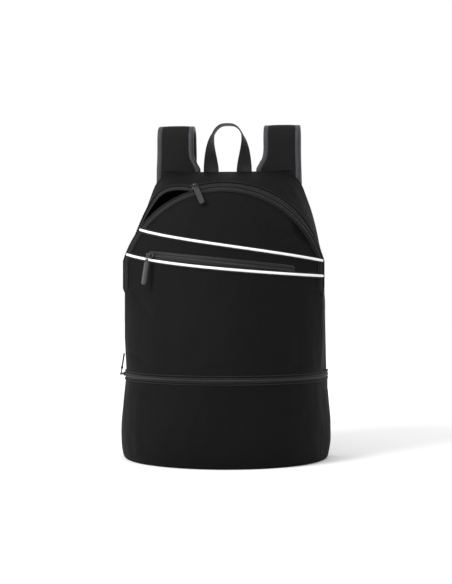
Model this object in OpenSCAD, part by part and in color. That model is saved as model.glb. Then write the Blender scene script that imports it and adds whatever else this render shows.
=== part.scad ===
// Racket backpack: a soft day pack with an arched main zip, a slanted front zip pocket and a zipped
// shoe compartment under the main one. +Z is up, the front faces -Y, and the origin is on the floor
// under the middle of the base. The plan of the bag is a D: a round front and a flat back.

/* [Bag] */
// Radius of the round front where the shoe zip runs
plan_r = 158; // [150:1:166]
// Half the width of the bag between its side walls
half_w = 160; // [156:1:166]
// Height of the back panel
back_h = 452; // [440:1:460]
// Distance of the back panel's front face behind the middle of the plan
back_y = 24; // [20:1:30]
// Height of the shoe zip's centre line
shoe_z = 129.5; // [125:0.5:135]
// Thickness of a fabric wall with its lining
wall = 2.4; // [2:0.2:3]

/* [Main flap] */
// Radius of the arched main zip
arch_r = 160.5; // [158:0.5:163]
// Height of the arch's centre
arch_z = 259.5; // [255:0.5:262]
// Distance of the arch's plane in front of the middle of the plan
arch_y = 48; // [44:1:50]
// Height of the line that the flap folds down on
fold_z = 250; // [244:1:254]

/* [Zips] */
// Radius of a closed zip's coil
coil_r = 1.6; // [1.2:0.1:2]
// Width of one visible zip tape
tape_w = 8; // [6:0.5:9]
// Angle from the top at which the main slider stops, towards the left
main_rest = -15; // [-20:1:-10]

/* [Straps] */
// Width of a padded shoulder strap
strap_w = 59; // [54:1:62]
// Thickness of a padded shoulder strap
strap_t = 9; // [7:0.5:10]
// Height of the top of the shoulder straps
strap_top = 530; // [524:1:536]
// Width of the webbing in the handle and the lower straps
web_w = 25; // [20:1:26]
// Thickness of the webbing
web_t = 2.2; // [1.8:0.1:2.4]

/* [Hidden] */
$fn = 64;
gap = 0.4;              // clearance between two pieces that are sewn face to face
side_w = half_w - 6.5;  // half the width of the front panel where it meets the side gusset
side_top = arch_z + sqrt(arch_r * arch_r - side_w * side_w);  // where the arch turns into the side seam
arch_end = asin(side_w / arch_r);   // the arch's half angle
front_bottom = shoe_z + 5.4;        // lower edge of the panels above the shoe zip
dome_top = arch_z + arch_r;         // the arch's highest point
gusset_bulge = 6;
slider_l = 13;
slider_w = 7;
bar_out = coil_r + 7.4;  // distance of the pull's pivot bar outwards from a zip's centre line
bar_r = 0.9;
pull_len = 40;
pocket_slope = 0.105;      // fall of the pocket zip from left to right
pocket_mid_z = 302;      // height of the pocket zip in the middle
pocket_r = 201.5;        // radius that the pocket zip bends to round the front
pocket_lean = 14;        // lean of the pocket zip, tapes and slider
pocket_from = -35.5;     // ends of the pocket zip, as angles round its axis
pocket_to = 32;
pocket_rest = -33;
panel_depth = 9.6;       // thickness of the padded back panel
strap_y = back_y + panel_depth + 1.6 + strap_t / 2;
handle_y = back_y + 4.5;
cloth = [0.09, 0.09, 0.09];
tape_black = [0.16, 0.16, 0.17];

// ---- Surfaces -------------------------------------------------------------------------------

function mix(a, b, t) = a + (b - a) * t;
function unit(v) = v / norm(v);

// How far the front bulges out past the arch's plane in the middle, at height z.
function bulge(z) =
    (plan_r - arch_y) * pow(max(1 - pow((z - shoe_z) / (dome_top + 1 - shoe_z), 1.4), 0.0001), 0.667);

// Half the width of the front panel at height z.
function half_width(z) =
    z > side_top ? sqrt(max(arch_r * arch_r - (z - arch_z) * (z - arch_z), 1))
    : mix(sqrt(plan_r * plan_r - arch_y * arch_y), side_w, min((z - shoe_z) / 60, 1));

// The front panel: u runs from -1 at the left seam to 1 at the right one, z is the height.
function front(u, z) =
    let (e = half_width(z), s = bulge(z), r = (e * e + s * s) / (2 * s), a = asin(e / r) * u)
    [r * sin(a), -arch_y - s + r * (1 - cos(a)), z];

// The outline of the back panel, as a distance from the arch's centre at angle a from the top: flat on
// top, a round corner, a side that slants in above the shoulder line, and a straight side below.
corner_r = 40;
corner_x = 82.3;
taper = 20.4;
corner_z = back_h - corner_r - arch_z;
taper_reach = corner_r + corner_x * cos(taper) + corner_z * sin(taper);
function back_reach(a) =
    let (s = abs(sin(a)), c = cos(a), dot = corner_x * s + corner_z * c,
         slant = taper_reach / max(cos(taper) * s + sin(taper) * c, 0.001),
         start = atan(corner_x / (back_h - arch_z)),
         end = atan((corner_x + corner_r * cos(taper)) / (corner_z + corner_r * sin(taper))))
    abs(a) <= start ? (back_h - arch_z) / c
    : abs(a) <= end ? dot + sqrt(dot * dot - corner_x * corner_x - corner_z * corner_z + corner_r * corner_r)
    : min(slant, half_w / max(s, 0.001));

// The gusset: w runs round the bag from -2 at the left bottom, over the arch between -1 and 1, to 2.
// g runs from 0 at the front seam to 1 at the back panel.
function gusset_z(w) = mix(side_top, front_bottom, abs(w) - 1);
function gusset_front(w) =
    abs(w) <= 1 ? [arch_r * sin(arch_end * w), -arch_y, arch_z + arch_r * cos(arch_end * w)]
    : [sign(w) * half_width(gusset_z(w)), -arch_y, gusset_z(w)];
function gusset_back(w) =
    abs(w) <= 1 ? let (a = arch_end * w, d = back_reach(a)) [d * sin(a), back_y, arch_z + d * cos(a)]
    : [sign(w) * half_w, back_y, min(gusset_z(w), arch_z + back_reach(arch_end) * cos(arch_end))];
function gusset_out(w) =
    let (a = abs(w) <= 1 ? arch_end * w : sign(w) * mix(arch_end, 90, min((abs(w) - 1) * 3, 1)))
    [sin(a), 0, cos(a)];
function gusset(w, g) =
    mix(gusset_front(w), gusset_back(w), g) + gusset_out(w) * gusset_bulge * sin(180 * g);

// The racket's way out: the gusset's front edge stands back from the zip between two places.
exit_from = -0.93;
exit_to = -0.3;
function exit_edge(w) =
    w <= exit_from || w >= exit_to ? 0
    : 0.5 * pow(sin(180 * (w - exit_from) / (exit_to - exit_from)), 0.8);

// The slanted lines across the front, as heights at u.
function piping_high(u) = 329.4 - 24.3 * u + 1.3 * u * u;
function piping_low(u) = 293.4 - 16.8 * u + 7 * u * u;
function pocket_zip_z(u) = pocket_mid_z - pocket_slope * 202 * sin(49.4 * u);

// ---- Builders -------------------------------------------------------------------------------

function steps(a, b, n) = [for (i = [0 : n]) mix(a, b, i / n)];

function normal_at(f, u, v, h = 0.004) =
    unit(cross(f(u + h, v) - f(u - h, v), f(u, v + h) - f(u, v - h)));

// A sheet that follows the surface f(u, v), from `inner` to `outer` along the surface's normal.
module sheet(f, us, vs, inner, outer) {
    nu = len(us);
    nv = len(vs);
    n = nu * nv;
    base = [for (v = vs) for (u = us) f(u, v)];
    normals = [for (v = vs) for (u = us) normal_at(f, u, v)];
    points = concat([for (i = [0 : n - 1]) base[i] + normals[i] * outer],
                    [for (i = [0 : n - 1]) base[i] + normals[i] * inner]);
    rim = concat([for (i = [0 : nu - 2]) i], [for (j = [0 : nv - 2]) j * nu + nu - 1],
                 [for (i = [nu - 1 : -1 : 1]) (nv - 1) * nu + i], [for (j = [nv - 1 : -1 : 1]) j * nu]);
    faces = concat(
        [for (j = [0 : nv - 2]) for (i = [0 : nu - 2]) let (a = j * nu + i)
            each [[a, a + nu, a + 1], [a + 1, a + nu, a + nu + 1]]],
        [for (j = [0 : nv - 2]) for (i = [0 : nu - 2]) let (a = n + j * nu + i)
            each [[a, a + 1, a + nu], [a + 1, a + nu + 1, a + nu]]],
        [for (k = [0 : len(rim) - 1]) let (a = rim[k], b = rim[(k + 1) % len(rim)])
            each [[a, b, n + a], [b, n + b, n + a]]]);
    polyhedron(points, faces, convexity = 6);
}

// A round cord or a flat band swept along points, with the two half axes of its section at each one.
module sweep(points, sides, across, depth, segments = 8) {
    n = len(points);
    section = [for (k = [0 : segments - 1]) let (a = 360 * k / segments + 180 / segments)
        segments == 4 ? [sign(cos(a)), sign(sin(a))] : [cos(a), sin(a)]];
    verts = [for (i = [0 : n - 1])
        let (t = unit(points[min(i + 1, n - 1)] - points[max(i - 1, 0)]),
             s = unit(sides[i] - t * (sides[i] * t)), d = cross(t, s))
        for (p = section) points[i] + s * p[0] * across[i] + d * p[1] * depth];
    faces = concat(
        [for (i = [0 : n - 2]) for (k = [0 : segments - 1])
            let (a = i * segments + k, b = i * segments + (k + 1) % segments)
            each [[a, a + segments, b], [b, a + segments, b + segments]]],
        [[for (k = [0 : segments - 1]) k]],
        [[for (k = [segments - 1 : -1 : 0]) (n - 1) * segments + k]]);
    polyhedron(verts, faces, convexity = 8);
}

// A profile turned round the middle of the plan over the round front, then run straight back to the panel.
module d_wall(back) {
    rotate([0, 0, 180]) rotate_extrude(angle = 180, $fn = 128) children();
    for (side = [0, 1]) mirror([side, 0, 0]) rotate([90, 0, 0]) translate([0, 0, -back])
        linear_extrude(back) children();
}

// A plate with the bag's D plan.
module d_plate(radius, back, z, thickness) {
    translate([0, 0, z]) linear_extrude(thickness) union() {
        intersection() {
            circle(radius, $fn = 128);
            translate([-radius, -radius]) square([2 * radius, radius]);
        }
        translate([-radius, -0.01]) square([2 * radius, back + 0.01]);
    }
}

// Part of a ring round the arch's axis, from angle a to angle b, measured from the top.
module arch_ring(a, b) {
    translate([0, 0, arch_z]) rotate([-90, 0, 0]) rotate([0, 0, a - 90])
        rotate_extrude(angle = b - a, $fn = 128) children();
}

// The pocket zip's own frame: its axis stands nearly upright, and the zip bends round it.
module pocket_frame() {
    translate([5, pocket_r - arch_y - bulge(pocket_mid_z) - 1.2, pocket_mid_z])
        rotate([0, atan(pocket_slope), 0]) children();
}

// ---- Zip hardware ---------------------------------------------------------------------------
// A slider stands at the bottom of a ring in the XY plane: it travels along X and faces -Y.

module slider_place(radius, angle, lean) {
    rotate([0, 0, angle]) translate([0, -radius, 0]) rotate([lean, 0, 0]) children();
}

module slider_body() {
    color("dimgray") translate([0, -coil_r - 0.5, 0]) {
        translate([-slider_l / 2, -2.4, -slider_w / 2]) cube([slider_l, 2.4, slider_w]);
        for (x = [-4.6, 3.2]) translate([x, -bar_out + coil_r + 0.5 - bar_r, -1.5])
            cube([1.4, bar_out - coil_r - 2.6 + bar_r, 3]);
    }
    color("silver") translate([-4, -bar_out, 0]) rotate([0, 90, 0]) cylinder(r = bar_r, h = 8, $fn = 32);
}

// The metal link hangs from the bar and turns about it. swing is its angle from the zip's own plane.
module pull_link(swing) {
    color("silver") translate([0, -bar_out, 0]) rotate([swing, 0, 0]) difference() {
        union() {
            translate([-2.4, 0, 0]) rotate([0, 90, 0]) cylinder(r = 1.9, h = 4.8, $fn = 32);
            translate([-2.4, -0.7, -10.5]) cube([4.8, 1.4, 10.5]);
        }
        translate([-3, 0, 0]) rotate([0, 90, 0]) cylinder(r = bar_r + 0.08, h = 6, $fn = 32);
        translate([-1.3, -2, -9.2]) cube([2.6, 4, 3.4]);
    }
}

module pull_tab(swing, yaw, length = pull_len, droop = 0, width = 7.5) {
    color(tape_black) translate([0, -bar_out, 0]) rotate([swing, 0, 0]) rotate([0, yaw, 0])
        translate([0, 0, -11]) rotate([droop, 0, 0]) translate([0, 1.2, 0]) rotate([90, 0, 0])
            linear_extrude(2.4) union() {
                translate([-width / 2, -length + 14]) square([width, length - 14]);
                translate([0, -length + 14]) circle(width / 2);
            }
}

// ---- Back and base --------------------------------------------------------------------------

module back_outline(inset) {
    union() {
        polygon(concat([[half_w - inset, 100], [-half_w + inset, 100]],
            [for (a = [-90 : 5 : 90]) [0, arch_z] + (back_reach(a) - inset) * [sin(a), cos(a)]]));
        translate([-half_w + inset, 20]) square([2 * (half_w - inset), 100]);
        translate([-half_w + 20, inset]) square([2 * half_w - 40, 40]);
        for (x = [-1, 1]) translate([x * (half_w - 20), 20]) circle(20 - inset);
    }
}

module back_panel() {
    color(cloth) translate([0, back_y + panel_depth, 0]) rotate([90, 0, 0])
        linear_extrude(panel_depth - gap) back_outline(0.5);
}

// A mesh-covered foam pad on the wearer's side of the back panel.
module back_pad(x, z, w, h) {
    color([0.13, 0.13, 0.13]) translate([x, back_y + panel_depth + gap, z]) rotate([-90, 0, 0])
        mirror([0, 1, 0]) linear_extrude(6) union() {
            translate([-w / 2 + 12, 0]) square([w - 24, h]);
            translate([-w / 2, 12]) square([w, h - 24]);
            for (sx = [-1, 1]) for (sz = [12, h - 12]) translate([sx * (w / 2 - 12), sz]) circle(12);
        }
}

// Radius of the shoe compartment at some heights: flared above the floor and pinched at the zip.
shoe_profile = [[157, 0], [161.5, 6], [164, 20], [165, 42], [163.5, 70], [160.5, 100],
                [plan_r - 0.5, shoe_z - 5]];

module shoe_wall() {
    n = len(shoe_profile);
    color(cloth) d_wall(back_y) polygon(concat(shoe_profile,
        [for (i = [n - 1 : -1 : 0]) [shoe_profile[i][0] - wall, shoe_profile[i][1]]]));
}

module base_panel() {
    color(cloth) d_plate(shoe_profile[0][0] - wall - gap, back_y, 0, 2.4);
}

module base_board() {
    color([0.25, 0.25, 0.26]) d_plate(shoe_profile[0][0] - wall - 4, back_y - 3, 2.4 + gap, 2);
}

module compartment_floor() {
    color(cloth) d_plate(plan_r - wall - 3, back_y, shoe_z - 5, 2);
}

// ---- Front ----------------------------------------------------------------------------------

module side_gusset() {
    ws = concat(steps(-2, -1, 8), [for (i = [1 : 39]) mix(-1, 1, i / 40)], steps(1, 2, 8));
    color(cloth) sheet(function (w, g) gusset(w, mix(exit_edge(w), 1, g)), ws,
        [0.02, 0.18, 0.36, 0.55, 0.75, 0.99], -wall, 0);
}

module front_part(low, high, nu, nv, inner = -wall, outer = 0, reach = 0.985) {
    sheet(function (u, t) front(u, mix(low(u), high(u), t)), steps(-reach, reach, nu), steps(0, 1, nv),
        inner, outer);
}

module front_lower_panel() {
    color(cloth) front_part(function (u) front_bottom, function (u) fold_z - 0.4, 26, 6);
}

// The pocket's inner wall. It meets the front along its sides and bottom, and stands off between them.
pocket_gap = 13;
function lining_depth(u, z) =
    wall + 0.6 + pocket_gap * (1 - pow(abs(u), 6)) * min((z - front_bottom) / 22, 1);
function lining(u, z) =
    front(u, z) - normal_at(function (a, b) front(a, b), u, z) * lining_depth(u, z);

module lining_part(low, high, nv) {
    sheet(function (u, t) lining(u, mix(low(u), high(u), t)), steps(-0.95, 0.95, 22), steps(0, 1, nv),
        -1.2, 0);
}

module pocket_lining() {
    color([0.2, 0.2, 0.2]) lining_part(function (u) front_bottom + 3, function (u) fold_z - 0.6, 6);
}

module flap_pocket_lining() {
    color([0.2, 0.2, 0.2]) lining_part(function (u) fold_z + 0.6, function (u) pocket_zip_z(u) + 4, 3);
}

module flap_pocket_front() {
    color(cloth) front_part(function (u) fold_z + 0.4, function (u) pocket_zip_z(u) - 1.8, 26, 2);
}

module flap_band() {
    color(cloth) front_part(function (u) pocket_zip_z(u) + 1.8, function (u) piping_high(u) - 0.3, 26, 2);
}

module flap_upper_panel() {
    // Rows crowd together towards the top, where the arch closes in.
    color(cloth) sheet(
        function (u, t) front(u, mix(piping_high(u) + 0.3, arch_z + arch_r * 0.992, sin(86 * t))),
        steps(-0.975, 0.975, 28), [for (i = [0 : 11]) i / 11], -wall, 0);
}

// A white corded piping that stands on the front along a slanted line.
module piping(line) {
    us = steps(-0.94, 0.94, 30);
    points = [for (u = us)
        let (p = front(u, line(u))) p + normal_at(function (a, b) front(a, b), u, line(u)) * 2.1];
    color("white") sweep(points, [for (u = us) [0, 0, 1]], [for (u = us) 1.9], 1.9, 8);
}

module piping_upper() {
    piping(function (u) piping_high(u));
}

module piping_lower() {
    piping(function (u) piping_low(u));
}

// ---- Main zip -------------------------------------------------------------------------------

tape_rise = 0.36;   // how much a tape climbs for each millimetre towards the back

module tape_profile(y0, y1) {
    polygon([[arch_r + 1 + y0 * tape_rise, y0 - arch_y], [arch_r + 1 + y1 * tape_rise, y1 - arch_y],
             [arch_r + 1.8 + y1 * tape_rise, y1 - arch_y], [arch_r + 1.8 + y0 * tape_rise, y0 - arch_y]]);
}

// The straight run of the zip below the arch, down to the fold line on both sides.
module side_run() {
    for (side = [-1, 1]) translate([side * (side_w - arch_r), 0, fold_z + 3])
        mirror([side < 0 ? 1 : 0, 0, 0]) linear_extrude(side_top - fold_z - 3) children();
}

module main_zip_flap_tape() {
    color(tape_black) {
        arch_ring(-arch_end + 1, arch_end - 1) tape_profile(-tape_w - 2, -1.8);
        side_run() tape_profile(-tape_w - 2, -1.8);
    }
}

module main_zip_flap_coil() {
    color("black") {
        arch_ring(-arch_end + 1, arch_end - 1) translate([arch_r + 2, -arch_y - 0.9]) circle(0.75, $fn = 24);
        side_run() translate([arch_r + 2, -arch_y - 0.9]) circle(0.75, $fn = 24);
    }
}

// The bag's half of the zip follows the gusset's front edge all the way, round the racket's way out too.
zip_ws = steps(-1.32, 1.32, 72);

module main_zip_gusset_tape() {
    color(tape_black) sheet(function (w, g) gusset(w, exit_edge(w) + mix(0.06, 0.16, g)), zip_ws,
        steps(0, 1, 2), 0.4, 1.2);
}

module main_zip_gusset_coil() {
    color("black") sweep([for (w = zip_ws) gusset(w, exit_edge(w)) + [0, 1, 0] + gusset_out(w) * 2],
        [for (w = zip_ws) gusset_out(w)], [for (w = zip_ws) 0.75], 0.75, 8);
}

main_swing = 40;   // angle of the main pull from the arch's plane, lying on the dome

module main_place() {
    translate([0, -arch_y, arch_z]) rotate([-90, 0, 0]) slider_place(arch_r + 2, main_rest, 0)
        children();
}

module main_slider() {
    main_place() slider_body();
}

module main_pull_link() {
    main_place() pull_link(main_swing);
}

module main_pull_tab() {
    main_place() pull_tab(main_swing, -9, droop = 9);
}

// ---- Pocket zip -----------------------------------------------------------------------------

module pocket_arc(from, to) {
    pocket_frame() rotate([0, 0, from - 90]) rotate_extrude(angle = to - from, $fn = 128) children();
}

module pocket_tape_profile(s0, s1) {
    c = cos(pocket_lean);
    s = sin(pocket_lean);
    polygon([[pocket_r - s0 * s, s0 * c], [pocket_r - s1 * s, s1 * c],
             [pocket_r - s1 * s + 0.8, s1 * c], [pocket_r - s0 * s + 0.8, s0 * c]]);
}

module pocket_zip_tapes() {
    color(tape_black) {
        pocket_arc(pocket_from, pocket_to) pocket_tape_profile(1.7, 6);
        pocket_arc(pocket_from, pocket_to) pocket_tape_profile(-3.1, -1.7);
    }
}

module pocket_zip_coil() {
    color("black") pocket_arc(pocket_from, pocket_to) translate([pocket_r + 0.8, 0])
        circle(1.3, $fn = 24);
}

pocket_swing = 0;

module pocket_place() {
    pocket_frame() slider_place(pocket_r + 1, pocket_rest, -pocket_lean) children();
}

module pocket_slider() {
    pocket_place() slider_body();
}

module pocket_pull_link() {
    pocket_place() pull_link(pocket_swing);
}

module pocket_pull_tab() {
    pocket_place() pull_tab(pocket_swing, 0);
}

// ---- Shoe zip -------------------------------------------------------------------------------

module shoe_zip_lower_tape() {
    color(tape_black) d_wall(back_y) translate([plan_r - 1.6, shoe_z - 4.7]) square([1.2, 3]);
}

module shoe_zip_upper_tape() {
    color(tape_black) d_wall(back_y) translate([plan_r - 1.6, shoe_z + 1.7]) square([1.2, 3]);
}

module shoe_zip_coil() {
    color("black") d_wall(back_y) translate([plan_r - 0.4, shoe_z]) circle(1.4, $fn = 24);
}

shoe_rest = -88;    // the slider waits at the zip's left end
shoe_swing = 178;   // its pull leans upwards against the bag

module shoe_place() {
    translate([0, 0, shoe_z]) slider_place(plan_r, shoe_rest, 0) children();
}

module shoe_slider() {
    shoe_place() slider_body();
}

module shoe_pull_link() {
    shoe_place() pull_link(shoe_swing);
}

module shoe_pull_tab() {
    shoe_place() pull_tab(shoe_swing, 0, 30);
}

// ---- Handle and straps ----------------------------------------------------------------------

// The handle is one piece of webbing: flat against the panel at both ends, and edge on over the top.
handle_half = 26.5;
handle_top = 527.5;

function handle_point(t) =
    let (a = 180 * t, rise = handle_top - back_h - 1)
    [-(handle_half + 3.5 * sin(a * 2) * cos(a)) * cos(a) * pow(max(abs(cos(a)), 0.0001), -0.35),
     handle_y, back_h + 0.8 + rise * pow(sin(a), 0.62)];
function smooth(t) = let (c = max(0, min(1, t))) c * c * (3 - 2 * c);
function handle_side(t) =
    let (turn = 90 * smooth((0.5 - abs(t - 0.5)) / 0.27))
    [cos(turn), sin(turn), 0];

module top_handle() {
    ts = steps(0, 1, 40);
    color(tape_black) sweep([for (t = ts) handle_point(t)], [for (t = ts) handle_side(t)],
        [for (t = ts) web_w / 2], web_t / 2, 4);
}

// The stitched ends of the handle, sewn to the back panel's top edge.
module handle_bartacks() {
    color(tape_black) for (side = [-1, 1])
        translate([side * handle_half - web_w / 2, back_y + panel_depth + gap, back_h - 27])
            cube([web_w, 1.2, 26]);
}

// Centre line of a strap, as [across, back, up], from the seam over the top and down the back.
loop_r = 20;
loop_z = strap_top - strap_t / 2 - loop_r;
strap_line = concat(
    [[86, strap_y, back_h + 1], [86, strap_y, back_h + 5], [86, strap_y, back_h + 20],
     [86, strap_y, back_h + 34]],
    [for (a = [180 : -22.5 : 0]) [86, strap_y + loop_r + loop_r * cos(a), loop_z + loop_r * sin(a)]],
    [[86, strap_y + 44, 480], [87, strap_y + 49, 440], [88, strap_y + 52, 395], [90, strap_y + 52, 350],
     [92, strap_y + 48, 305], [95, strap_y + 42, 262], [98, strap_y + 34, 222], [101, strap_y + 25, 188],
     [103, strap_y + 19, 168]]);
strap_n = len(strap_line);
function strap_half(i) = i <= 1 ? strap_w / 2 + 6 : i == 2 ? strap_w / 2 + 1.5
    : i >= strap_n - 3 ? strap_w / 2 - 4.5 * (i - strap_n + 4) : strap_w / 2;
function strap_center(i) = strap_line[i] - [i <= 1 ? 5 : i == 2 ? 1.2 : 0, 0, 0];

module strap() {
    color(cloth) sweep([for (i = [0 : strap_n - 1]) strap_center(i)],
        [for (i = [0 : strap_n - 1]) [1, 0, 0]],
        [for (i = [0 : strap_n - 1]) strap_half(i) - (i < 4 ? 4.5 : 3.2)], strap_t / 2, 4);
}

// The folded tape that binds both long edges of a strap.
module strap_binding() {
    color(tape_black) for (side = [-1, 1])
        sweep([for (i = [0 : strap_n - 1])
                strap_center(i) + [side * (strap_half(i) + (i < 3 ? 1.2 : -1)), 0, 0]],
            [for (i = [0 : strap_n - 1]) [1, 0, 0]], [for (i = [0 : strap_n - 1]) 1],
            strap_t / 2 - 1.5, 4);
}

// Where the strap is sewn to the back panel.
module strap_base() {
    color(cloth) translate([42, strap_y - strap_t / 2, back_h - 27]) cube([74, strap_t, 27.1]);
}

lock = strap_line[strap_n - 1] + [1, -3, -22];   // centre of the ladder lock
lock_w = 31;
lock_h = 27;

module ladder_lock() {
    color("black") translate(lock) rotate([16, 0, 0]) difference() {
        translate([-lock_w / 2, -2, -lock_h / 2]) cube([lock_w, 4, lock_h]);
        for (z = [-9.5, -1, 7.5]) translate([-lock_w / 2 + 2.6, -3, z - 1.9])
            cube([lock_w - 5.2, 6, 3.8]);
    }
}

module lock_loop() {
    color(tape_black) translate(lock) rotate([16, 0, 0]) translate([-12, -1.2, lock_h / 2 + 0.4])
        cube([24, 2.4, 4.6]);
}

anchor = [138, back_y + panel_depth + 3.2, 26];

module lower_webbing() {
    from = lock + [1, 4.6, -lock_h / 2 - 4.5];
    to = anchor + [-4, 2, 12];
    line = [for (t = steps(0, 1, 10)) mix(from, to, t) + [0, 9 * sin(180 * t), 0]];
    color(tape_black) sweep(line, [for (p = line) [1, 0, 0.5]], [for (p = line) web_w / 2 - 2], 0.9, 4);
}

// The cloth triangle that holds the webbing in the bottom corner of the back.
module webbing_anchor() {
    color(cloth) translate([0, back_y + panel_depth + gap, 0]) rotate([-90, 0, 0]) mirror([0, 1, 0])
        linear_extrude(2.4) polygon([[anchor[0] - 22, 14], [anchor[0] + 20, 14], [anchor[0] + 20, 52],
                                     [anchor[0] + 2, 40]]);
}

module left() {
    mirror([1, 0, 0]) children();
}

back_panel();
back_pad(-67, 158, 104, 240);  // back_pad_left
back_pad(67, 158, 104, 240);  // back_pad_right
back_pad(0, 62, 200, 84);  // lumbar_pad
base_panel();
base_board();
shoe_wall();
compartment_floor();
side_gusset();
front_lower_panel();
pocket_lining();
flap_pocket_lining();
flap_upper_panel();
flap_band();
flap_pocket_front();
piping_upper();
piping_lower();
main_zip_flap_tape();
main_zip_flap_coil();
main_zip_gusset_tape();
main_zip_gusset_coil();
main_slider();
main_pull_link();
main_pull_tab();
pocket_zip_tapes();
pocket_zip_coil();
pocket_slider();
pocket_pull_link();
pocket_pull_tab();
shoe_zip_lower_tape();
shoe_zip_upper_tape();
shoe_zip_coil();
shoe_slider();
shoe_pull_link();
shoe_pull_tab();
top_handle();
handle_bartacks();
left() strap_base();  // strap_base_left
strap_base();  // strap_base_right
left() strap();  // strap_left
strap();  // strap_right
left() strap_binding();  // strap_binding_left
strap_binding();  // strap_binding_right
left() lock_loop();  // lock_loop_left
lock_loop();  // lock_loop_right
left() ladder_lock();  // ladder_lock_left
ladder_lock();  // ladder_lock_right
left() lower_webbing();  // lower_webbing_left
lower_webbing();  // lower_webbing_right
left() webbing_anchor();  // webbing_anchor_left
webbing_anchor();  // webbing_anchor_right
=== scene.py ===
import math

import bpy
import numpy as np
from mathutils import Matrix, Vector, noise


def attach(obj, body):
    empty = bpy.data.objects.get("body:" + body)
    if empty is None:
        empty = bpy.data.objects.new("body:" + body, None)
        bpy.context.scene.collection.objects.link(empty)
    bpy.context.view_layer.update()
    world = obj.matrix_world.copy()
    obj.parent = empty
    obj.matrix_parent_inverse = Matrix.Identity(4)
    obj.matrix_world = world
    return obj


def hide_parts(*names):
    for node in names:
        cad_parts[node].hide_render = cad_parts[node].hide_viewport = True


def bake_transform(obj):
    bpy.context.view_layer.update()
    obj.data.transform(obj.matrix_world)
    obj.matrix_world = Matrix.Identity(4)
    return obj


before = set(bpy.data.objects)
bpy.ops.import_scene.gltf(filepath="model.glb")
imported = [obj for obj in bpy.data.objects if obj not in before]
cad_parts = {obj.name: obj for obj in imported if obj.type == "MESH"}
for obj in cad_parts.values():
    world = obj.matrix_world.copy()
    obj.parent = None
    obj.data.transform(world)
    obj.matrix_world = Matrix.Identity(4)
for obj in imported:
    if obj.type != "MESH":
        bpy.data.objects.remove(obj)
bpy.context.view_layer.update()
MM = 0.001
RIGHT, BACKWARD, UP = np.eye(3)

# ---- The bag's sizes, in millimetres, as in the CAD ----
PLAN_R = 158.0      # round front at the shoe zip
HALF_W = 160.0
SIDE_HALF = 155.0   # half the back's width where the arch starts
BACK_H = 452.0
BACK_Y = 24.0       # front face of the back panel
BACK_CORNER = 20.0  # radius of the back's lower corners
SHOE_Z = 129.5
ARCH_R = 160.5      # arched main zip
ARCH_Z = 259.5
ARCH_Y = 48.0       # how far forward the arch stands
COIL_R = 1.6
BAR_OUT = COIL_R + 7.4   # a pull's axis, out from the coil
POCKET_R = 201.5         # the pocket zip's arc
POCKET_MID_Z = 302.0
POCKET_SLOPE = 0.105
POCKET_LEAN = 14.0
STRAP_Y = 39.7
PANEL_Y = 33.6      # rear face of the back panel
SIDE_W = HALF_W - 6.5
SIDE_TOP = ARCH_Z + math.sqrt(ARCH_R ** 2 - SIDE_W ** 2)
ARCH_END = math.degrees(math.asin(SIDE_W / ARCH_R))
DOME_TOP = ARCH_Z + ARCH_R
LOW_Z = SHOE_Z + 5.4
ZIP_END = 254.0     # height where the main zip stops at both sides
EXIT_FROM, EXIT_TO = -0.93, -0.235   # where a racket leaves the bag, along the zip's line
HANDLE_X = 26.5          # middle of each end of the handle
STRAP_X = 79.0           # middle of a strap's sewn end


def mix(a, b, t):
    return a + (b - a) * t


def even(n):
    return np.linspace(0, 1, n)


def smooth(t):
    t = np.clip(t, 0.0, 1.0)
    return t * t * (3 - 2 * t)


def points(x, y, z):
    """Points from their coordinates, any of which may be one number for all."""
    return np.stack(np.broadcast_arrays(x, y, z), -1).astype(float)


# ---- Surfaces ----

def bulge(z):
    """How far the round front stands forward of the arch at a height."""
    t = np.clip((z - SHOE_Z) / (DOME_TOP + 1 - SHOE_Z), 0, 1)
    return (PLAN_R - ARCH_Y) * np.maximum(1 - t ** 1.4, 0.0001) ** 0.667


def side_width(z):
    """Half the width of the front below the arch."""
    return mix(math.sqrt(PLAN_R ** 2 - ARCH_Y ** 2), SIDE_W, np.clip((z - SHOE_Z) / 60, 0, 1))


def arch_width(z, r=ARCH_R):
    """Half the width of a circle round the arch's centre."""
    return np.sqrt(np.maximum(r ** 2 - (z - ARCH_Z) ** 2, 1))


def half_width(z):
    """Half the width of the front where it meets the gusset."""
    return np.where(z > SIDE_TOP, arch_width(z), side_width(z))


def panel_edge(z):
    """Half the width of the front panels: they stop short of the zip's tape above its end."""
    low = side_width(z) - 5.0 * smooth((z - ZIP_END + 4) / 8)
    return np.where(z > SIDE_TOP - 1.5, np.minimum(arch_width(z, ARCH_R - 5.0), low), low)


def front_radius(z):
    """Radius of the round front in plan, at a height."""
    e, s = half_width(z), bulge(z)
    return (e * e + s * s) / (2 * s)


def front_y(x, z):
    """How far forward the front stands at a place across and up."""
    r = front_radius(z)
    return -ARCH_Y - bulge(z) + r - np.sqrt(np.maximum(r * r - x * x, 0.0))


def front_x(u, z, edge):
    """Where the share u of the way from the middle to an edge lies across the front."""
    r = front_radius(z)
    return r * np.sin(np.arcsin(np.clip(edge(z) / r, -1, 1)) * u)


def piping_high(u):
    """Height of the upper piping; u runs from -1 to 1 across the front."""
    return 329.4 - 24.3 * u + 1.3 * u * u


def piping_low(u):
    return 293.4 - 16.8 * u + 7 * u * u


def pocket_zip_z(u):
    return POCKET_MID_Z - POCKET_SLOPE * 202 * np.sin(np.radians(49.4 * u))


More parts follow.
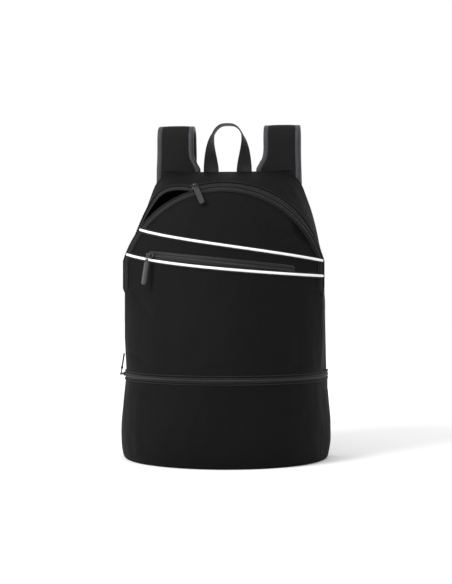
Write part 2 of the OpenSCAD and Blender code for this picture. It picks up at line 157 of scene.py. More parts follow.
def back_reach(a):
    """Distance of the back panel's outline from the arch's centre, at angle a from the top."""
    a = np.radians(a)
    s, c = np.abs(np.sin(a)), np.cos(a)
    cx, cz, cr, tp = 82.3, BACK_H - 40 - ARCH_Z, 40.0, math.radians(20.4)
    reach = cr + cx * math.cos(tp) + cz * math.sin(tp)
    top = (BACK_H - ARCH_Z) / np.maximum(c, 1e-3)
    slant = reach / np.maximum(math.cos(tp) * s + math.sin(tp) * c, 1e-3)
    side = SIDE_HALF / np.maximum(s, 1e-3)
    dot = cx * s + cz * c
    arc = dot + np.sqrt(np.maximum(dot ** 2 - cx ** 2 - cz ** 2 + cr ** 2, 0))
    first = math.atan(cx / (BACK_H - ARCH_Z))
    last = math.atan((cx + cr * math.cos(tp)) / (cz + cr * math.sin(tp)))
    k = 14.0
    low = -np.log(np.exp(-slant / k) + np.exp(-side / k)) * k + 1.2
    return np.where(np.abs(a) <= first, top, np.where(np.abs(a) <= last, arc, np.minimum(low, slant)))


def gusset_z(w):
    """Height of the gusset's front edge below the arch."""
    return mix(SIDE_TOP, LOW_Z, np.abs(w) - 1)


def ring(w, off, y):
    """A point beside the zip's line: w runs from -2 to 2 round the bag, off is outwards."""
    a = np.radians(ARCH_END * np.clip(w, -1, 1))
    r = ARCH_R + off
    over = np.clip((np.abs(w) - 1) / 0.3, 0, 1)
    end = math.radians(ARCH_END)
    low_x = np.sign(w) * (half_width(gusset_z(w)) + off * math.sin(end))
    low_z = gusset_z(w) + off * math.cos(end) * (1 - over)
    arched = np.abs(w) <= 1
    return points(np.where(arched, r * np.sin(a), low_x), y, np.where(arched, ARCH_Z + r * np.cos(a), low_z))


def outward(w):
    """Direction straight out of the bag beside the zip's line."""
    a = np.radians(np.where(np.abs(w) <= 1, ARCH_END * w,
                            np.sign(w) * mix(ARCH_END, 90, np.clip((np.abs(w) - 1) * 3, 0, 1))))
    return points(np.sin(a), 0, np.cos(a))


def exit_edge(w):
    """How far the gusset's front edge stands back where a racket leaves the bag."""
    t = np.clip((w - EXIT_FROM) / (EXIT_TO - EXIT_FROM), 0, 1)
    return np.where((w <= EXIT_FROM) | (w >= EXIT_TO), 0.0, 0.5 * np.sin(np.pi * t) ** 0.8)


def lip(w):
    """Where the gusset's front edge stands beside the zip: outwards and back."""
    t = smooth((np.abs(w) - 0.5) / 0.5)
    return mix(8.5, 0.9, t), mix(6.0, 8.5, t)


def gusset(w, g):
    """The side and top wall: g runs from 0 at the zip to 1 at the back panel."""
    open_zip = smooth((gusset_z(w) - ZIP_END + 4) / 30) * (np.abs(w) > 1) + (np.abs(w) <= 1)
    off, back_off = lip(w)
    start = ring(w, off * open_zip, -ARCH_Y + back_off * open_zip)
    a = ARCH_END * np.clip(w, -1, 1)
    d = back_reach(a)
    reach = back_reach(np.array(ARCH_END))
    end_z = ARCH_Z + reach * math.cos(math.radians(ARCH_END))
    low_z = mix(end_z, LOW_Z, np.clip(np.abs(w) - 1, 0, 1))
    side = SIDE_HALF + (HALF_W - SIDE_HALF) * np.clip((ARCH_Z - low_z) / (ARCH_Z - 20), 0, 1)
    side = mix(reach * math.sin(math.radians(ARCH_END)), side, smooth((end_z - low_z) / 60))
    arched = np.abs(w) <= 1
    end = points(np.where(arched, d * np.sin(np.radians(a)), np.sign(w) * side), BACK_Y + 5.5,
                 np.where(arched, ARCH_Z + d * np.cos(np.radians(a)), low_z))
    g = np.asarray(g)[..., None]
    puff = 5.5 * np.sin(np.pi * g) ** 0.9 * mix(0.15, 0.45, np.clip((1 - np.abs(w)) * 2.2, 0, 1))[..., None]
    return mix(start, end, g) + outward(w) * puff


# ---- Mesh helpers ----

def unit(v):
    return v / np.maximum(np.linalg.norm(v, axis=-1, keepdims=True), 1e-9)


def lengths(path):
    """How far along a path each of its points lies."""
    return np.concatenate([[0], np.cumsum(np.linalg.norm(np.diff(path, axis=0), axis=-1))])


def at_lengths(want, have, values):
    """The values at some distances, from those at the distances of a path's points."""
    return np.stack([np.interp(want, have, values[:, k]) for k in range(values.shape[1])], -1)


def make(name, verts, faces, mat, body, uvs=None, angle=42):
    """A mesh object from millimetre points. uvs has one pair for each point, in metres."""
    me = bpy.data.meshes.new(name)
    me.from_pydata([tuple(v) for v in np.asarray(verts, float) * MM], [], [tuple(map(int, f)) for f in faces])
    if uvs is not None:
        idx = np.empty(len(me.loops), int)
        me.loops.foreach_get("vertex_index", idx)
        me.uv_layers.new(name="UVMap").data.foreach_set("uv", np.asarray(uvs, float)[idx].ravel())
    me.validate()
    me.shade_smooth()
    me.set_sharp_from_angle(angle=math.radians(angle))
    ob = bpy.data.objects.new(name, me)
    bpy.context.scene.collection.objects.link(ob)
    me.materials.append(mat)
    if body:
        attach(ob, body)
    return ob


def grid_normals(p):
    return unit(np.cross(np.gradient(p, axis=1), np.gradient(p, axis=0)))


def arc_uv(p):
    """UV in metres, measured along a grid's rows and columns from its middle."""
    du = np.linalg.norm(np.diff(p, axis=1), axis=-1)
    dv = np.linalg.norm(np.diff(p, axis=0), axis=-1)
    u = np.concatenate([np.zeros((p.shape[0], 1)), np.cumsum(du, 1)], 1)
    v = np.concatenate([np.zeros((1, p.shape[1])), np.cumsum(dv, 0)], 0)
    u -= u[:, p.shape[1] // 2][:, None]
    return np.stack([u, v], -1).reshape(-1, 2) * MM


def shell(name, p, mat, body, thick=1.4):
    """A closed sheet of cloth whose outer face is the grid p."""
    nv, nu = p.shape[:2]
    count = nu * nv
    verts = np.concatenate([p.reshape(-1, 3), (p - grid_normals(p) * thick).reshape(-1, 3)])
    j, i = np.mgrid[0:nv - 1, 0:nu - 1]
    a = (j * nu + i).ravel()
    outer = np.stack([a, a + 1, a + nu + 1, a + nu], 1)
    inner = outer[:, ::-1] + count
    at = np.arange(count).reshape(nv, nu)
    rim = np.concatenate([at[0, :-1], at[:-1, -1], at[-1, :0:-1], at[:0:-1, 0]])
    nxt = np.roll(rim, -1)
    sides = np.stack([nxt, rim, rim + count, nxt + count], 1)
    uv = arc_uv(p)
    return make(name, verts, np.concatenate([outer, inner, sides]), mat, body, np.concatenate([uv, uv]))


def tangents(path):
    return unit(np.gradient(path, axis=0))


def tube(n, k, closed=False, turned=False):
    """The faces of a tube of n rings of k points, capped unless closed; turned faces them the other way."""
    a, b = np.mgrid[0:n if closed else n - 1, 0:k]
    c, d = (a + 1) % n, (b + 1) % k
    faces = np.stack([a * k + b, a * k + d, c * k + d, c * k + b], -1).reshape(-1, 4)
    caps = [] if closed else [range(k)[::-1], range((n - 1) * k, n * k)]
    if turned:
        faces = faces[:, [0, 3, 2, 1]]
        caps = [cap[::-1] for cap in caps]
    return faces.tolist() + [list(cap) for cap in caps]


def sweep(name, path, side, mat, body, profile, closed=False):
    """A closed profile [(across, up)...] carried along a path; side gives the across direction.
    Up is side x tangent. profile may be an array for each station."""
    t = tangents(path)
    if closed:
        t = unit(np.roll(path, -1, 0) - np.roll(path, 1, 0))
    s = unit(side - t * np.sum(side * t, -1, keepdims=True))
    up = np.cross(s, t)
    prof = np.asarray(profile, float)
    if prof.ndim == 2:
        prof = np.broadcast_to(prof, (len(path),) + prof.shape)
    verts = (path[:, None, :] + s[:, None, :] * prof[:, :, 0:1] + up[:, None, :] * prof[:, :, 1:2])
    px, py = prof[0].T
    area = np.sum(px * np.roll(py, -1) - np.roll(px, -1) * py)
    faces = tube(len(path), prof.shape[1], closed, area >= 0)
    uv = np.stack(np.broadcast_arrays(lengths(prof[0]), lengths(path)[:, None]), -1).reshape(-1, 2) * MM
    return make(name, verts.reshape(-1, 3), faces, mat, body, uv)


def oval(half_w, half_h, n=12, power=1.0):
    """A closed round profile, squarer for a power under 1."""
    a = np.arange(n) * 2 * np.pi / n
    c, s = np.cos(a), np.sin(a)
    return np.stack([half_w * np.sign(c) * np.abs(c) ** power, half_h * np.sign(s) * np.abs(s) ** power], -1)


def resample(path, step):
    """Points a step apart along a path, and where they fall on it, as a fraction."""
    d = lengths(path)
    at = np.linspace(0, d[-1], max(int(d[-1] / step), 2) + 1)
    return at_lengths(at, d, path), at / d[-1]


def curve(knots, n):
    """A smooth path through knots (Catmull-Rom)."""
    p = np.asarray(knots, float)
    p = np.concatenate([[2 * p[0] - p[1]], p, [2 * p[-1] - p[-2]]])
    t = np.linspace(0, len(p) - 3 - 1e-9, n)
    i = t.astype(int)
    f = (t - i)[:, None]
    a, b, c, d = p[i], p[i + 1], p[i + 2], p[i + 3]
    square, cube = 2 * a - 5 * b + 4 * c - d, 3 * b - a - 3 * c + d
    return 0.5 * ((2 * b) + (c - a) * f + square * f ** 2 + cube * f ** 3)


def stitches(name, path, up, body, length=3.0, gap=1.3, radius=0.32):
    """Rows of separate thread stitches that stand a little out of the cloth."""
    pts, _ = resample(path, length + gap)
    d = lengths(path)
    at = np.linspace(0, d[-1], len(pts))
    mid = (at[:-1] + at[1:]) / 2
    c = at_lengths(mid, d, path)[:, None]
    n = unit(at_lengths(mid, d, np.broadcast_to(up, path.shape)))[:, None]
    t = unit(pts[1:] - pts[:-1])[:, None]
    s = unit(np.cross(t, n))
    where, lift, fat = np.array([(-0.5, -0.35, 0.35), (-0.3, 0.12, 0.95), (0.0, 0.2, 1.0),
                                 (0.3, 0.12, 0.95), (0.5, -0.35, 0.35)]).T[:, :, None]
    k = 6
    ang = (np.arange(k) * 2 * np.pi / k)[:, None]
    centre = (c + t * length * where + n * lift)[:, :, None]
    round_it = (s[:, :, None] * np.cos(ang) + n[:, :, None] * np.sin(ang)) * radius
    verts = (centre + round_it * fat[:, :, None]).reshape(-1, 3)
    one_uv = np.stack(np.broadcast_arrays(ang[:, 0] * radius, length * where), -1).reshape(-1, 2) * MM
    size = len(where) * k
    faces = [[m * size + i for i in f] for m in range(len(c)) for f in tube(len(where), k)]
    return make(name, verts, faces, THREAD, body, np.tile(one_uv, (len(c), 1)), angle=80)


def coil(name, path, out, across, body, pitch=1.25, half=1.5, high=0.85):
    """A nylon zip coil: a close row of small bent loops along the path."""
    pts, f = resample(path, pitch)
    at = np.linspace(0, 1, len(path))
    o = unit(at_lengths(f, at, out))[:, None, None]
    a = unit(at_lengths(f, at, np.broadcast_to(across, path.shape)))[:, None, None]
    k = 10
    ang = (np.arange(k) * 2 * np.pi / k)[:, None]
    where, fat = np.array([(-0.5, 0.74), (-0.26, 1.0), (0.0, 1.06), (0.26, 1.0), (0.5, 0.74)]).T[:, :, None]
    centre = (pts[:, None] + tangents(pts)[:, None] * pitch * where)[:, :, None]
    fat = fat[:, :, None]
    verts = centre + a * half * fat * np.cos(ang) + o * high * fat * np.sin(ang)
    v = (np.arange(len(pts))[:, None] + where[:, 0])[..., None] * pitch
    uv = np.stack(np.broadcast_arrays(ang[:, 0] * half, v), -1).reshape(-1, 2) * MM
    faces = tube(len(pts) * len(where), k, turned=True)
    return make(name, verts.reshape(-1, 3), faces, COIL, body, uv, angle=60)


def fractal(p, scale, seed, octaves=3, stretch=(1, 1, 1)):
    """Smooth noise about -1 to 1 at millimetre points."""
    q = p.reshape(-1, 3) * np.asarray(stretch) / scale + seed * np.array([3.1, 1.7, 2.3])
    out = np.array([noise.fractal(Vector(v), 0.9, 2.1, octaves, noise_basis="PERLIN_ORIGINAL") for v in q])
    return out.reshape(p.shape[:-1])


def dress(piece, slot, *nodes):
    """Hides the CAD nodes that a piece stands for, and returns the piece. The slot argument is not used."""
    if nodes:
        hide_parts(*nodes)
    return piece


# ---- Materials ----

class Nodes:
    """Short ways to add shader nodes to one material."""

    def __init__(self, name, rough, metallic=0.0, specular=0.5, sheen=0.0, sheen_rough=0.5, coat=0.0):
        self.mat = bpy.data.materials.new(name)
        self.mat.use_nodes = True
        self.tree = self.mat.node_tree
        self.bsdf = self.tree.nodes["Principled BSDF"]
        for key, value in (("Metallic", metallic), ("Roughness", rough), ("Specular IOR Level", specular),
                           ("Sheen Weight", sheen), ("Sheen Roughness", sheen_rough), ("Coat Weight", coat)):
            self.bsdf.inputs[key].default_value = value
        self.coord = self.tree.nodes.new("ShaderNodeTexCoord")

    def add(self, kind, operation=None, **inputs):
        """A node with its sockets set or linked by name, or by number as i0, i1 and so on."""
        node = self.tree.nodes.new(kind)
        if operation:
            node.operation = operation
        for key, value in inputs.items():
            name = key.replace("_", " ")
            socket = node.inputs[int(key[1:])] if key[0] == "i" and key[1:].isdigit() else node.inputs[name]
            if hasattr(value, "links"):
                self.tree.links.new(value, socket)
            else:
                socket.default_value = value
        return node

    def math(self, op, a, b=0.0, c=0.0):
        return self.add("ShaderNodeMath", op, i0=a, i1=b, i2=c).outputs[0]

    def times(self, a, b, plus=None):
        return self.math("MULTIPLY", a, b) if plus is None else self.math("MULTIPLY_ADD", a, b, plus)

    def wave(self, a, pitch):
        """One hump of a sine for each pitch."""
        return self.math("SINE", self.times(a, math.pi / pitch))

    def size(self, a):
        return self.math("ABSOLUTE", a)

    def uv(self):
        sep = self.add("ShaderNodeSeparateXYZ", i0=self.coord.outputs["UV"])
        return sep.outputs[0], sep.outputs[1]

    def noise(self, scale, detail):
        node = self.add("ShaderNodeTexNoise", Vector=self.coord.outputs["Object"], Scale=scale, Detail=detail)
        return node.outputs["Fac"]

    def ramp(self, fac, stops):
        node = self.add("ShaderNodeValToRGB", i0=fac)
        while len(node.color_ramp.elements) < len(stops):
            node.color_ramp.elements.new(0.5)
        for e, (pos, col) in zip(node.color_ramp.elements, stops):
            e.position = pos
            e.color = (*col, 1.0)
        return node.outputs["Color"]

    def link(self, out, name):
        self.tree.links.new(out, self.bsdf.inputs[name])

    def color(self, fac, color, stops):
        """Base colour from a ramp of (place, brightness) stops."""
        self.link(self.ramp(fac, [(at, [c * k for c in color]) for at, k in stops]), "Base Color")

    def rough(self, fac, low, high):
        self.link(self.times(fac, high - low, low), "Roughness")

    def bump(self, height, distance, strength=1.0):
        before = self.bsdf.inputs["Normal"].links
        node = self.add("ShaderNodeBump", Height=height, Distance=distance, Strength=strength)
        if before:
            self.tree.links.new(before[0].from_socket, node.inputs["Normal"])
        self.link(node.outputs[0], "Normal")

    def weave(self, pitch_u, pitch_v):
        """Height of a plain weave, 0 in the gaps and 1 on the yarns."""
        u, v = self.uv()
        su, sv = self.wave(u, pitch_u), self.wave(v, pitch_v)
        over = self.math("GREATER_THAN", self.times(su, sv), 0.0)
        warp, weft = self.size(su), self.size(sv)
        top = self.math("ADD", self.times(warp, over), self.times(weft, self.math("SUBTRACT", 1.0, over)))
        return self.times(self.times(warp, weft), 0.45, self.times(top, 0.55))


def woven(name, color, rough=0.5, pitch=0.0011, depth=0.00016, sheen=0.0, spec=0.05, slub=0.25):
    """Plain woven cloth with uneven yarns. Its colour is darker in the gaps between yarns, as painted shade.
    """
    n = Nodes(name, rough, specular=spec, sheen=sheen, sheen_rough=0.45)
    w = n.weave(pitch, pitch * 0.92)
    cloud = n.noise(9.0, 3.0)
    fibre = n.noise(900.0, 2.0)
    # Colour: painted shade in the gaps between yarns, from the weave's height, with random tone from noise on
    # top.
    yarn_gap_shade_and_tone = n.times(w, 0.55, n.times(cloud, slub, n.times(fibre, 0.3)))
    n.color(yarn_gap_shade_and_tone, color, [(0.15, 0.45), (0.6, 1), (1.0, 1.7)])
    n.rough(n.times(w, -0.3, n.times(cloud, 0.5)), rough - 0.04, rough + 0.14)
    n.bump(n.noise(70.0, 4.0), 0.0004, 0.35)
    n.bump(w, depth, 0.9)
    return n.mat


def ribbed(name, color, rough, rib=0.0016, cross=0.0011, depth=0.00035, sheen=0.04, spec=0.13):
    """Webbing or tape: ribs along the length with a fine cross weave. Its colour is darker between the ribs,
    as painted shade.
    """
    n = Nodes(name, rough, specular=spec, sheen=sheen, sheen_rough=0.35)
    u, v = n.uv()
    r = n.size(n.wave(u, rib))
    shift = n.times(n.math("FLOOR", n.math("DIVIDE", u, rib)), math.pi * 0.5)
    c = n.size(n.math("SINE", n.times(v, math.pi / cross, shift)))
    h = n.times(n.math("POWER", r, 0.6), n.times(c, 0.5, 0.5))
    cloud = n.noise(30.0, 3.0)
    # Colour: painted shade between the ribs and cross yarns, from their height, with random tone from noise.
    n.color(n.times(h, 0.7, n.times(cloud, 0.4)), color, [(0.1, 0.4), (0.55, 1), (1.0, 1.8)])
    n.rough(cloud, rough - 0.06, rough + 0.12)
    n.bump(h, depth, 0.9)
    return n.mat


def moulded(name, color, rough, grain=0.00005, spec=0.5, metallic=0.0, coat=0.0, worn=0.0):
    """Plastic, rubber or coated metal with a fine grain."""
    n = Nodes(name, rough, metallic=metallic, specular=spec, coat=coat)
    cloud = n.noise(120.0, 4.0)
    fine = n.noise(2600.0, 3.0)
    n.color(n.times(fine, 0.5, n.times(cloud, 0.5)), color, [(0.2, 0.75), (0.6, 1), (0.95, 1.35 + worn)])
    n.rough(cloud, rough - 0.07, rough + 0.1)
    n.bump(fine, grain, 0.6)
    return n.mat


def mesh_cloth(name, color, rough):
    """Three-layer air mesh: rows of open holes in a knitted face. The holes are drawn as a bump and as
    painted shade, not cut.
    """
    n = Nodes(name, rough, specular=0.15, sheen=0.06, sheen_rough=0.4)
    u, v = n.uv()
    pitch = 0.0034
    row = n.math("FLOOR", n.math("DIVIDE", v, pitch * 0.8))
    shift = n.times(n.math("MODULO", row, 2.0), pitch * 0.5)
    fu = n.math("SUBTRACT", n.math("FRACT", n.math("DIVIDE", n.math("ADD", u, shift), pitch)), 0.5)
    fv = n.math("SUBTRACT", n.math("FRACT", n.math("DIVIDE", v, pitch * 0.8)), 0.5)
    d = n.math("SQRT", n.times(fu, fu, n.times(fv, fv)))
    rim = n.add("ShaderNodeMapRange", Value=d, From_Min=0.2, From_Max=0.36, To_Min=0.0, To_Max=1.0)
    # Colour from this: painted shade inside the holes, lighter on the knit face between them, with random
    # tone.
    knit_and_hole_shade = n.times(n.noise(1500.0, 2.0), 0.35, n.times(rim.outputs[0], 0.75))
    n.color(knit_and_hole_shade, color, [(0.1, 0.15), (0.5, 1), (1.0, 1.9)])
    n.bump(knit_and_hole_shade, 0.0007, 1.0)
    return n.mat


BODY = woven("body_cloth", (0.0046, 0.0046, 0.0047), 0.7)
LOWER = woven("lower_cloth", (0.0042, 0.0042, 0.0043), 0.7)
STRAP = woven("strap_cloth", (0.0085, 0.0085, 0.0087), 0.7)
LINING = woven("lining_cloth", (0.018, 0.018, 0.019), pitch=0.0006, depth=0.00007, sheen=0.1, spec=0.45)
AIR_MESH = mesh_cloth("air_mesh", (0.012, 0.012, 0.0126), 0.75)
WEBBING = ribbed("webbing", (0.012, 0.012, 0.0128), 0.52)
BINDING = ribbed("binding_tape", (0.017, 0.017, 0.0215), 0.42, rib=0.0009, cross=0.0007, depth=0.00014,
                 sheen=0.08, spec=0.3)
TAPE = ribbed("zip_tape", (0.0075, 0.0075, 0.0088), 0.5, rib=0.0008, cross=0.0008, depth=0.00012, sheen=0.06)
WELT = woven("zip_welt", (0.0082, 0.0082, 0.0102), pitch=0.0007, depth=0.00008, sheen=0.03, spec=0.2)
COIL = moulded("zip_coil", (0.008, 0.008, 0.0086), 0.42, grain=0.00004, spec=0.25)
THREAD = ribbed("thread", (0.024, 0.024, 0.026), 0.5, rib=0.0004, cross=0.0005, depth=0.00005, sheen=0.3)
PIPING = woven("white_piping", (0.83, 0.83, 0.84), 0.38, pitch=0.0006, depth=0.00005, sheen=0.1, spec=0.5,
               slub=0.1)
METAL = moulded("black_metal", (0.03, 0.03, 0.033), 0.34, grain=0.00001, metallic=0.75, coat=0.25, worn=1.2)
STEEL = moulded("bar_metal", (0.06, 0.06, 0.065), 0.32, grain=0.00001, metallic=1.0, worn=0.4)
PULL = moulded("pull_rubber", (0.016, 0.016, 0.0172), 0.44, grain=0.00003, spec=0.3)
BUCKLE = moulded("buckle_plastic", (0.017, 0.017, 0.018), 0.4)
BOARD = moulded("stiffener", (0.05, 0.05, 0.052), 0.6)


# ---- Front panels ----

def crumple(p, amount, scale, seed, keep, stretch=(1, 1, 1)):
    """Soft unevenness of filled cloth, fading out at the sheet's sewn edges."""
    uv = arc_uv(p).reshape(p.shape[:2] + (2,)) / MM
    u, v = uv[..., 0], uv[..., 1]
    du = np.minimum(u - u[:, :1], u[:, -1:] - u)
    dv = np.minimum(v - v[:1, :], v[-1:, :] - v)
    fade = smooth(np.minimum(du, dv) / keep)
    return p + grid_normals(p) * (fractal(p, scale, seed, 3, stretch) * amount * fade)[..., None]


def creased(p, *lines):
    """Several soft valleys: each is (start, end, width, depth), in the plane of the front."""
    for line in lines:
        p = crease(p, *line)
    return p


def crease(p, start, end, width, depth):
    """A soft valley pressed along a line, in the plane of the front."""
    a, b = np.array(start, float), np.array(end, float)
    q = p[..., [0, 2]] - a
    d = b - a
    t = np.clip((q @ d) / (d @ d), 0, 1)
    gap = np.linalg.norm(q - t[..., None] * d, axis=-1)
    w = width * (0.5 + 0.5 * np.sin(np.pi * np.clip(t, 0.04, 0.96)))
    deep = depth * np.exp(-(gap / w) ** 2) * np.sin(np.pi * np.clip(t, 0.03, 0.97))
    return p - grid_normals(p) * deep[..., None]


def line_u(x, z):
    """The share of the way from the middle to the gusset, for a place across the front."""
    r = front_radius(z)
    return np.arcsin(np.clip(x / r, -1, 1)) / np.arcsin(np.clip(half_width(z) / r, -1, 1))


def panel(low, high, rows, cols, lift=0.0):
    """A grid over the front between two slanted lines."""
    s, t = np.meshgrid(np.linspace(-1, 1, cols), even(rows))
    u = s
    for _ in range(3):
        z = mix(low(u), high(u), t)
        x = front_x(s, z, panel_edge)
        u = line_u(x, z)
    return points(x, front_y(x, z) - lift, z)


def window(u):
    """1 along the pocket's zip, 0 past both its ends."""
    return smooth((u + 0.735) / 0.03) * smooth((0.68 - u) / 0.03)


def on_front(us, line, lift=0.0):
    """A path across the front along a slanted line, lifted out of the surface, with its normals."""
    z = line(us)
    x = front_x(us, z, half_width)
    h = 0.5
    n = unit(np.cross(points(2 * h, front_y(x + h, z) - front_y(x - h, z), 0),
                      points(0, front_y(x, z + h) - front_y(x, z - h), 2 * h)))
    return points(x, front_y(x, z), z) + n * lift, n


front_p = panel(lambda u: LOW_Z + 0 * u, lambda u: piping_low(u) - 0.6, 110, 190)
front_p = crumple(front_p, 2.2, 105.0, 3, keep=26.0, stretch=(1, 1, 0.6))
front_p = crumple(front_p, 0.9, 34.0, 5, keep=12.0, stretch=(1, 1, 0.55))
front_p = creased(front_p, ((-140, 262), (-96, 214), 7, 1.6), ((132, 262), (84, 226), 8, 1.7),
                  ((-146, 168), (-92, 146), 6, 1.5), ((142, 158), (96, 143), 6, 1.4),
                  ((-30, 150), (34, 146), 5, 0.8))
front_panel = shell("front_panel", front_p, BODY, None)
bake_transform(front_panel)
dress(front_panel, "body_fabric", "front_lower_panel", "flap_pocket_front")


def band_low(u):
    """The band's lower edge: it steps up from the piping to the pocket's zip."""
    return mix(piping_low(u) + 0.6, pocket_zip_z(u) + 6.6, window(u))


band_p = crumple(panel(band_low, lambda u: piping_high(u) - 0.6, 26, 240), 0.8, 46.0, 8, keep=8.0)
dress(shell("pocket_band", band_p, BODY, "flap"), "body_fabric", "flap_band")


def dome_grid(cols, ts):
    """The upper panel, ruled from the high piping up to the arch."""
    r = ARCH_R - 5.0
    left = math.degrees(math.acos((piping_high(-1.0) - ARCH_Z) / r))
    right = math.degrees(math.acos((piping_high(1.0) - ARCH_Z) / r))
    f = mix(even(cols), smooth(even(cols)), 0.35)
    a = np.radians(mix(-left, right, f))
    top = np.stack([r * np.sin(a), ARCH_Z + r * np.cos(a)], -1)
    x = mix(top[0, 0], top[-1, 0], mix(f, smooth(f), 0.25))
    bottom = np.stack([x, piping_high(x / 152.0) + 0.6], -1)
    bottom[0], bottom[-1] = top[0], top[-1]
    x, z = np.moveaxis(mix(bottom[None], top[None], ts[:, None, None]), -1, 0)
    return points(x, front_y(x, z), z)


dome_p = crumple(dome_grid(200, 1 - (1 - even(64)) ** 1.7), 1.5, 80.0, 12, keep=22.0)
dome_p = crumple(dome_p, 0.6, 26.0, 14, keep=9.0)
dome_p = creased(dome_p, ((106, 368), (136, 330), 7, 4.2), ((118, 350), (92, 338), 6, 1.4),
                 ((-112, 372), (-78, 350), 7, 1.3), ((28, 408), (64, 384), 7, 1.0))
dress(shell("flap_dome", dome_p, BODY, "flap"), "body_fabric", "flap_upper_panel")

for name, line in (("piping_upper", piping_high), ("piping_lower", piping_low)):
    us = np.linspace(-0.985, 0.988, 150)
    path, n = on_front(us, line, 1.7)
    across = np.cross(n, tangents(path))
    dress(sweep(name + "_cord", path, across, PIPING, "flap", oval(2.0, 1.95, 16)), "piping", name)
    for sign, tag in ((-1, "below"), (1, "above")):
        flange, fn = on_front(us, lambda u: line(u) + sign * 3.1, 0.25)
        across = np.cross(fn, tangents(flange))
        dress(sweep(f"{name}_seam_{tag}", flange, across, BODY, "flap", oval(1.9, 0.75, 10)), "body_fabric")
        row, rn = on_front(us, lambda u: line(u) + sign * 3.4, 0.95)
        dress(stitches(f"{name}_stitches_{tag}", row, rn, "flap"), "body_fabric")


# ---- Gusset ----

def zip_places(far, low, high):
    """Places along the zip's line, with low of them in each side and high round the arch."""
    side = np.linspace(-far, -1, low)[:-1]
    return np.concatenate([side, np.linspace(-1, 1, high), -side[::-1]])


w, g = np.meshgrid(zip_places(2, 80, 190), even(34))
side_p = crumple(gusset(w, mix(exit_edge(w), 1.0, g)), 1.2, 62.0, 21, keep=12.0, stretch=(1, 1, 0.6))
side_p = crumple(side_p, 0.5, 22.0, 22, keep=7.0)
dress(shell("gusset", side_p, BODY, "bag", thick=1.6), "body_fabric", "side_gusset")


# ---- Main zip ----

ZIP_W = 1 + (SIDE_TOP - ZIP_END + 4) / (SIDE_TOP - LOW_Z)
zw = zip_places(ZIP_W, 30, 200)


def tucked(p):
    """Sinks both ends of the zip under the cloth."""
    t = np.where(np.abs(zw) > 1, smooth((gusset_z(zw) - ZIP_END + 4) / 16), 1.0)
    return mix(ring(zw, -3.0, -ARCH_Y + 4.0), p, t[:, None])


def beside(w, off, lift=0.0):
    """A place on the front panel at a distance inside the zip's line."""
    p = ring(w, off, 0.0)
    p[..., 1] = front_y(p[..., 0], p[..., 2]) - lift
    return p


inner_edge = beside(zw, -5.0)
rows = []
for off in (-7.0, -5.0, -3.0, -1.0, 1.2):
    f = (off + 5.0) / 6.2
    p = ring(zw, off, 0.0)
    base = beside(zw, min(off, -5.0))
    rising = mix(inner_edge[..., 1] + 0.8, -ARCH_Y - 1.7, max(f, 0)) - 0.6 * math.sin(math.pi * max(f, 0))
    p[..., 1] = np.where(f < 0, base[..., 1] + 1.2, rising)
    rows.append(tucked(p))
flap_tape = shell("main_zip_flap_side_tape", np.stack(rows), TAPE, "flap", thick=0.6)
dress(flap_tape, "zip_tape", "main_zip_flap_tape")

line = tucked(ring(zw, 2.0, -ARCH_Y - 1.35))
up = outward(zw)
dress(coil("main_zip_flap_side_coil", line, up, BACKWARD, "flap"), "zip_coil", "main_zip_flap_coil")

shift = gusset(zw, exit_edge(zw)) - gusset(zw, np.zeros_like(zw))
lip_off, lip_y = lip(zw)


def bag_side(t, off=0.0):
    """A place across the bag side of the zip, from its teeth at 0 to the gusset's lip at 1."""
    return ring(zw, mix(0.9, lip_off, t) + off, -ARCH_Y + mix(1.7, lip_y, t)) + shift


rows = np.stack([tucked(bag_side(t)) for t in (0.0, 0.3, 0.65, 1.12)])
dress(shell("main_zip_bag_side_tape", rows, TAPE, "bag", thick=0.6), "zip_tape", "main_zip_gusset_tape")
line = tucked(ring(zw, 2.0, -ARCH_Y + 1.35) + shift)
dress(coil("main_zip_bag_side_coil", line, up, BACKWARD, "bag"), "zip_coil", "main_zip_gusset_coil")

edge = tucked(beside(zw, -6.3, 0.35))
across = beside(zw, -6.3) - beside(zw, -4.3)
dress(sweep("flap_edge_fold", edge, across, BODY, "flap", oval(2.1, 0.85, 10)), "body_fabric")
row = tucked(beside(zw, -6.6, 1.25))
dress(stitches("flap_edge_stitches", row, unit(up * 0.55 - BACKWARD), "flap"), "body_fabric")
row = ring(zw, -1.6, 0.0)
row[:, 1] = mix(inner_edge[:, 1] + 0.8, -ARCH_Y - 1.7, 3.4 / 6.2) - 0.9
dress(stitches("flap_tape_stitches", tucked(row), unit(up - BACKWARD), "flap"), "zip_tape")

g0 = exit_edge(zw)
edge = tucked(gusset(zw, g0 + 0.012) + up * 0.35)
across = gusset(zw, g0 + 0.06) - gusset(zw, g0)
dress(sweep("gusset_edge_fold", edge, across, BODY, "bag", oval(2.3, 0.9, 10)), "body_fabric")
dress(stitches("gusset_edge_stitches", tucked(gusset(zw, g0 + 0.016) + up * 1.35), up, "bag"), "body_fabric")
dress(stitches("gusset_tape_stitches", tucked(bag_side(0.62, 0.3)), up - BACKWARD * 0.6, "bag"), "zip_tape")


# ---- Shoe compartment ----

def plan_path(r, z, cols=170):
    """The round front and both straight sides at one height, from the left back corner to the right one."""
    a = np.radians(np.linspace(-90, 90, cols))
    ys = np.linspace(BACK_Y + 2.0, 0, 12)[:-1]
    corner = BACK_CORNER - math.sqrt(max(BACK_CORNER ** 2 - max(BACK_CORNER - z, 0.0) ** 2, 0.0))
    inset = (r - (HALF_W - 0.4)) * smooth(ys / BACK_Y) + corner * smooth((ys - 20.5) / 4.0)
    left = points(-(r - inset), ys, z)
    return np.concatenate([left, points(r * np.sin(a), -r * np.cos(a), z), left[::-1] * (-1, 1, 1)])


def front_out(path):
    """Direction straight out of the round front."""
    return unit(points(path[:, 0], np.minimum(path[:, 1], 0), 0))


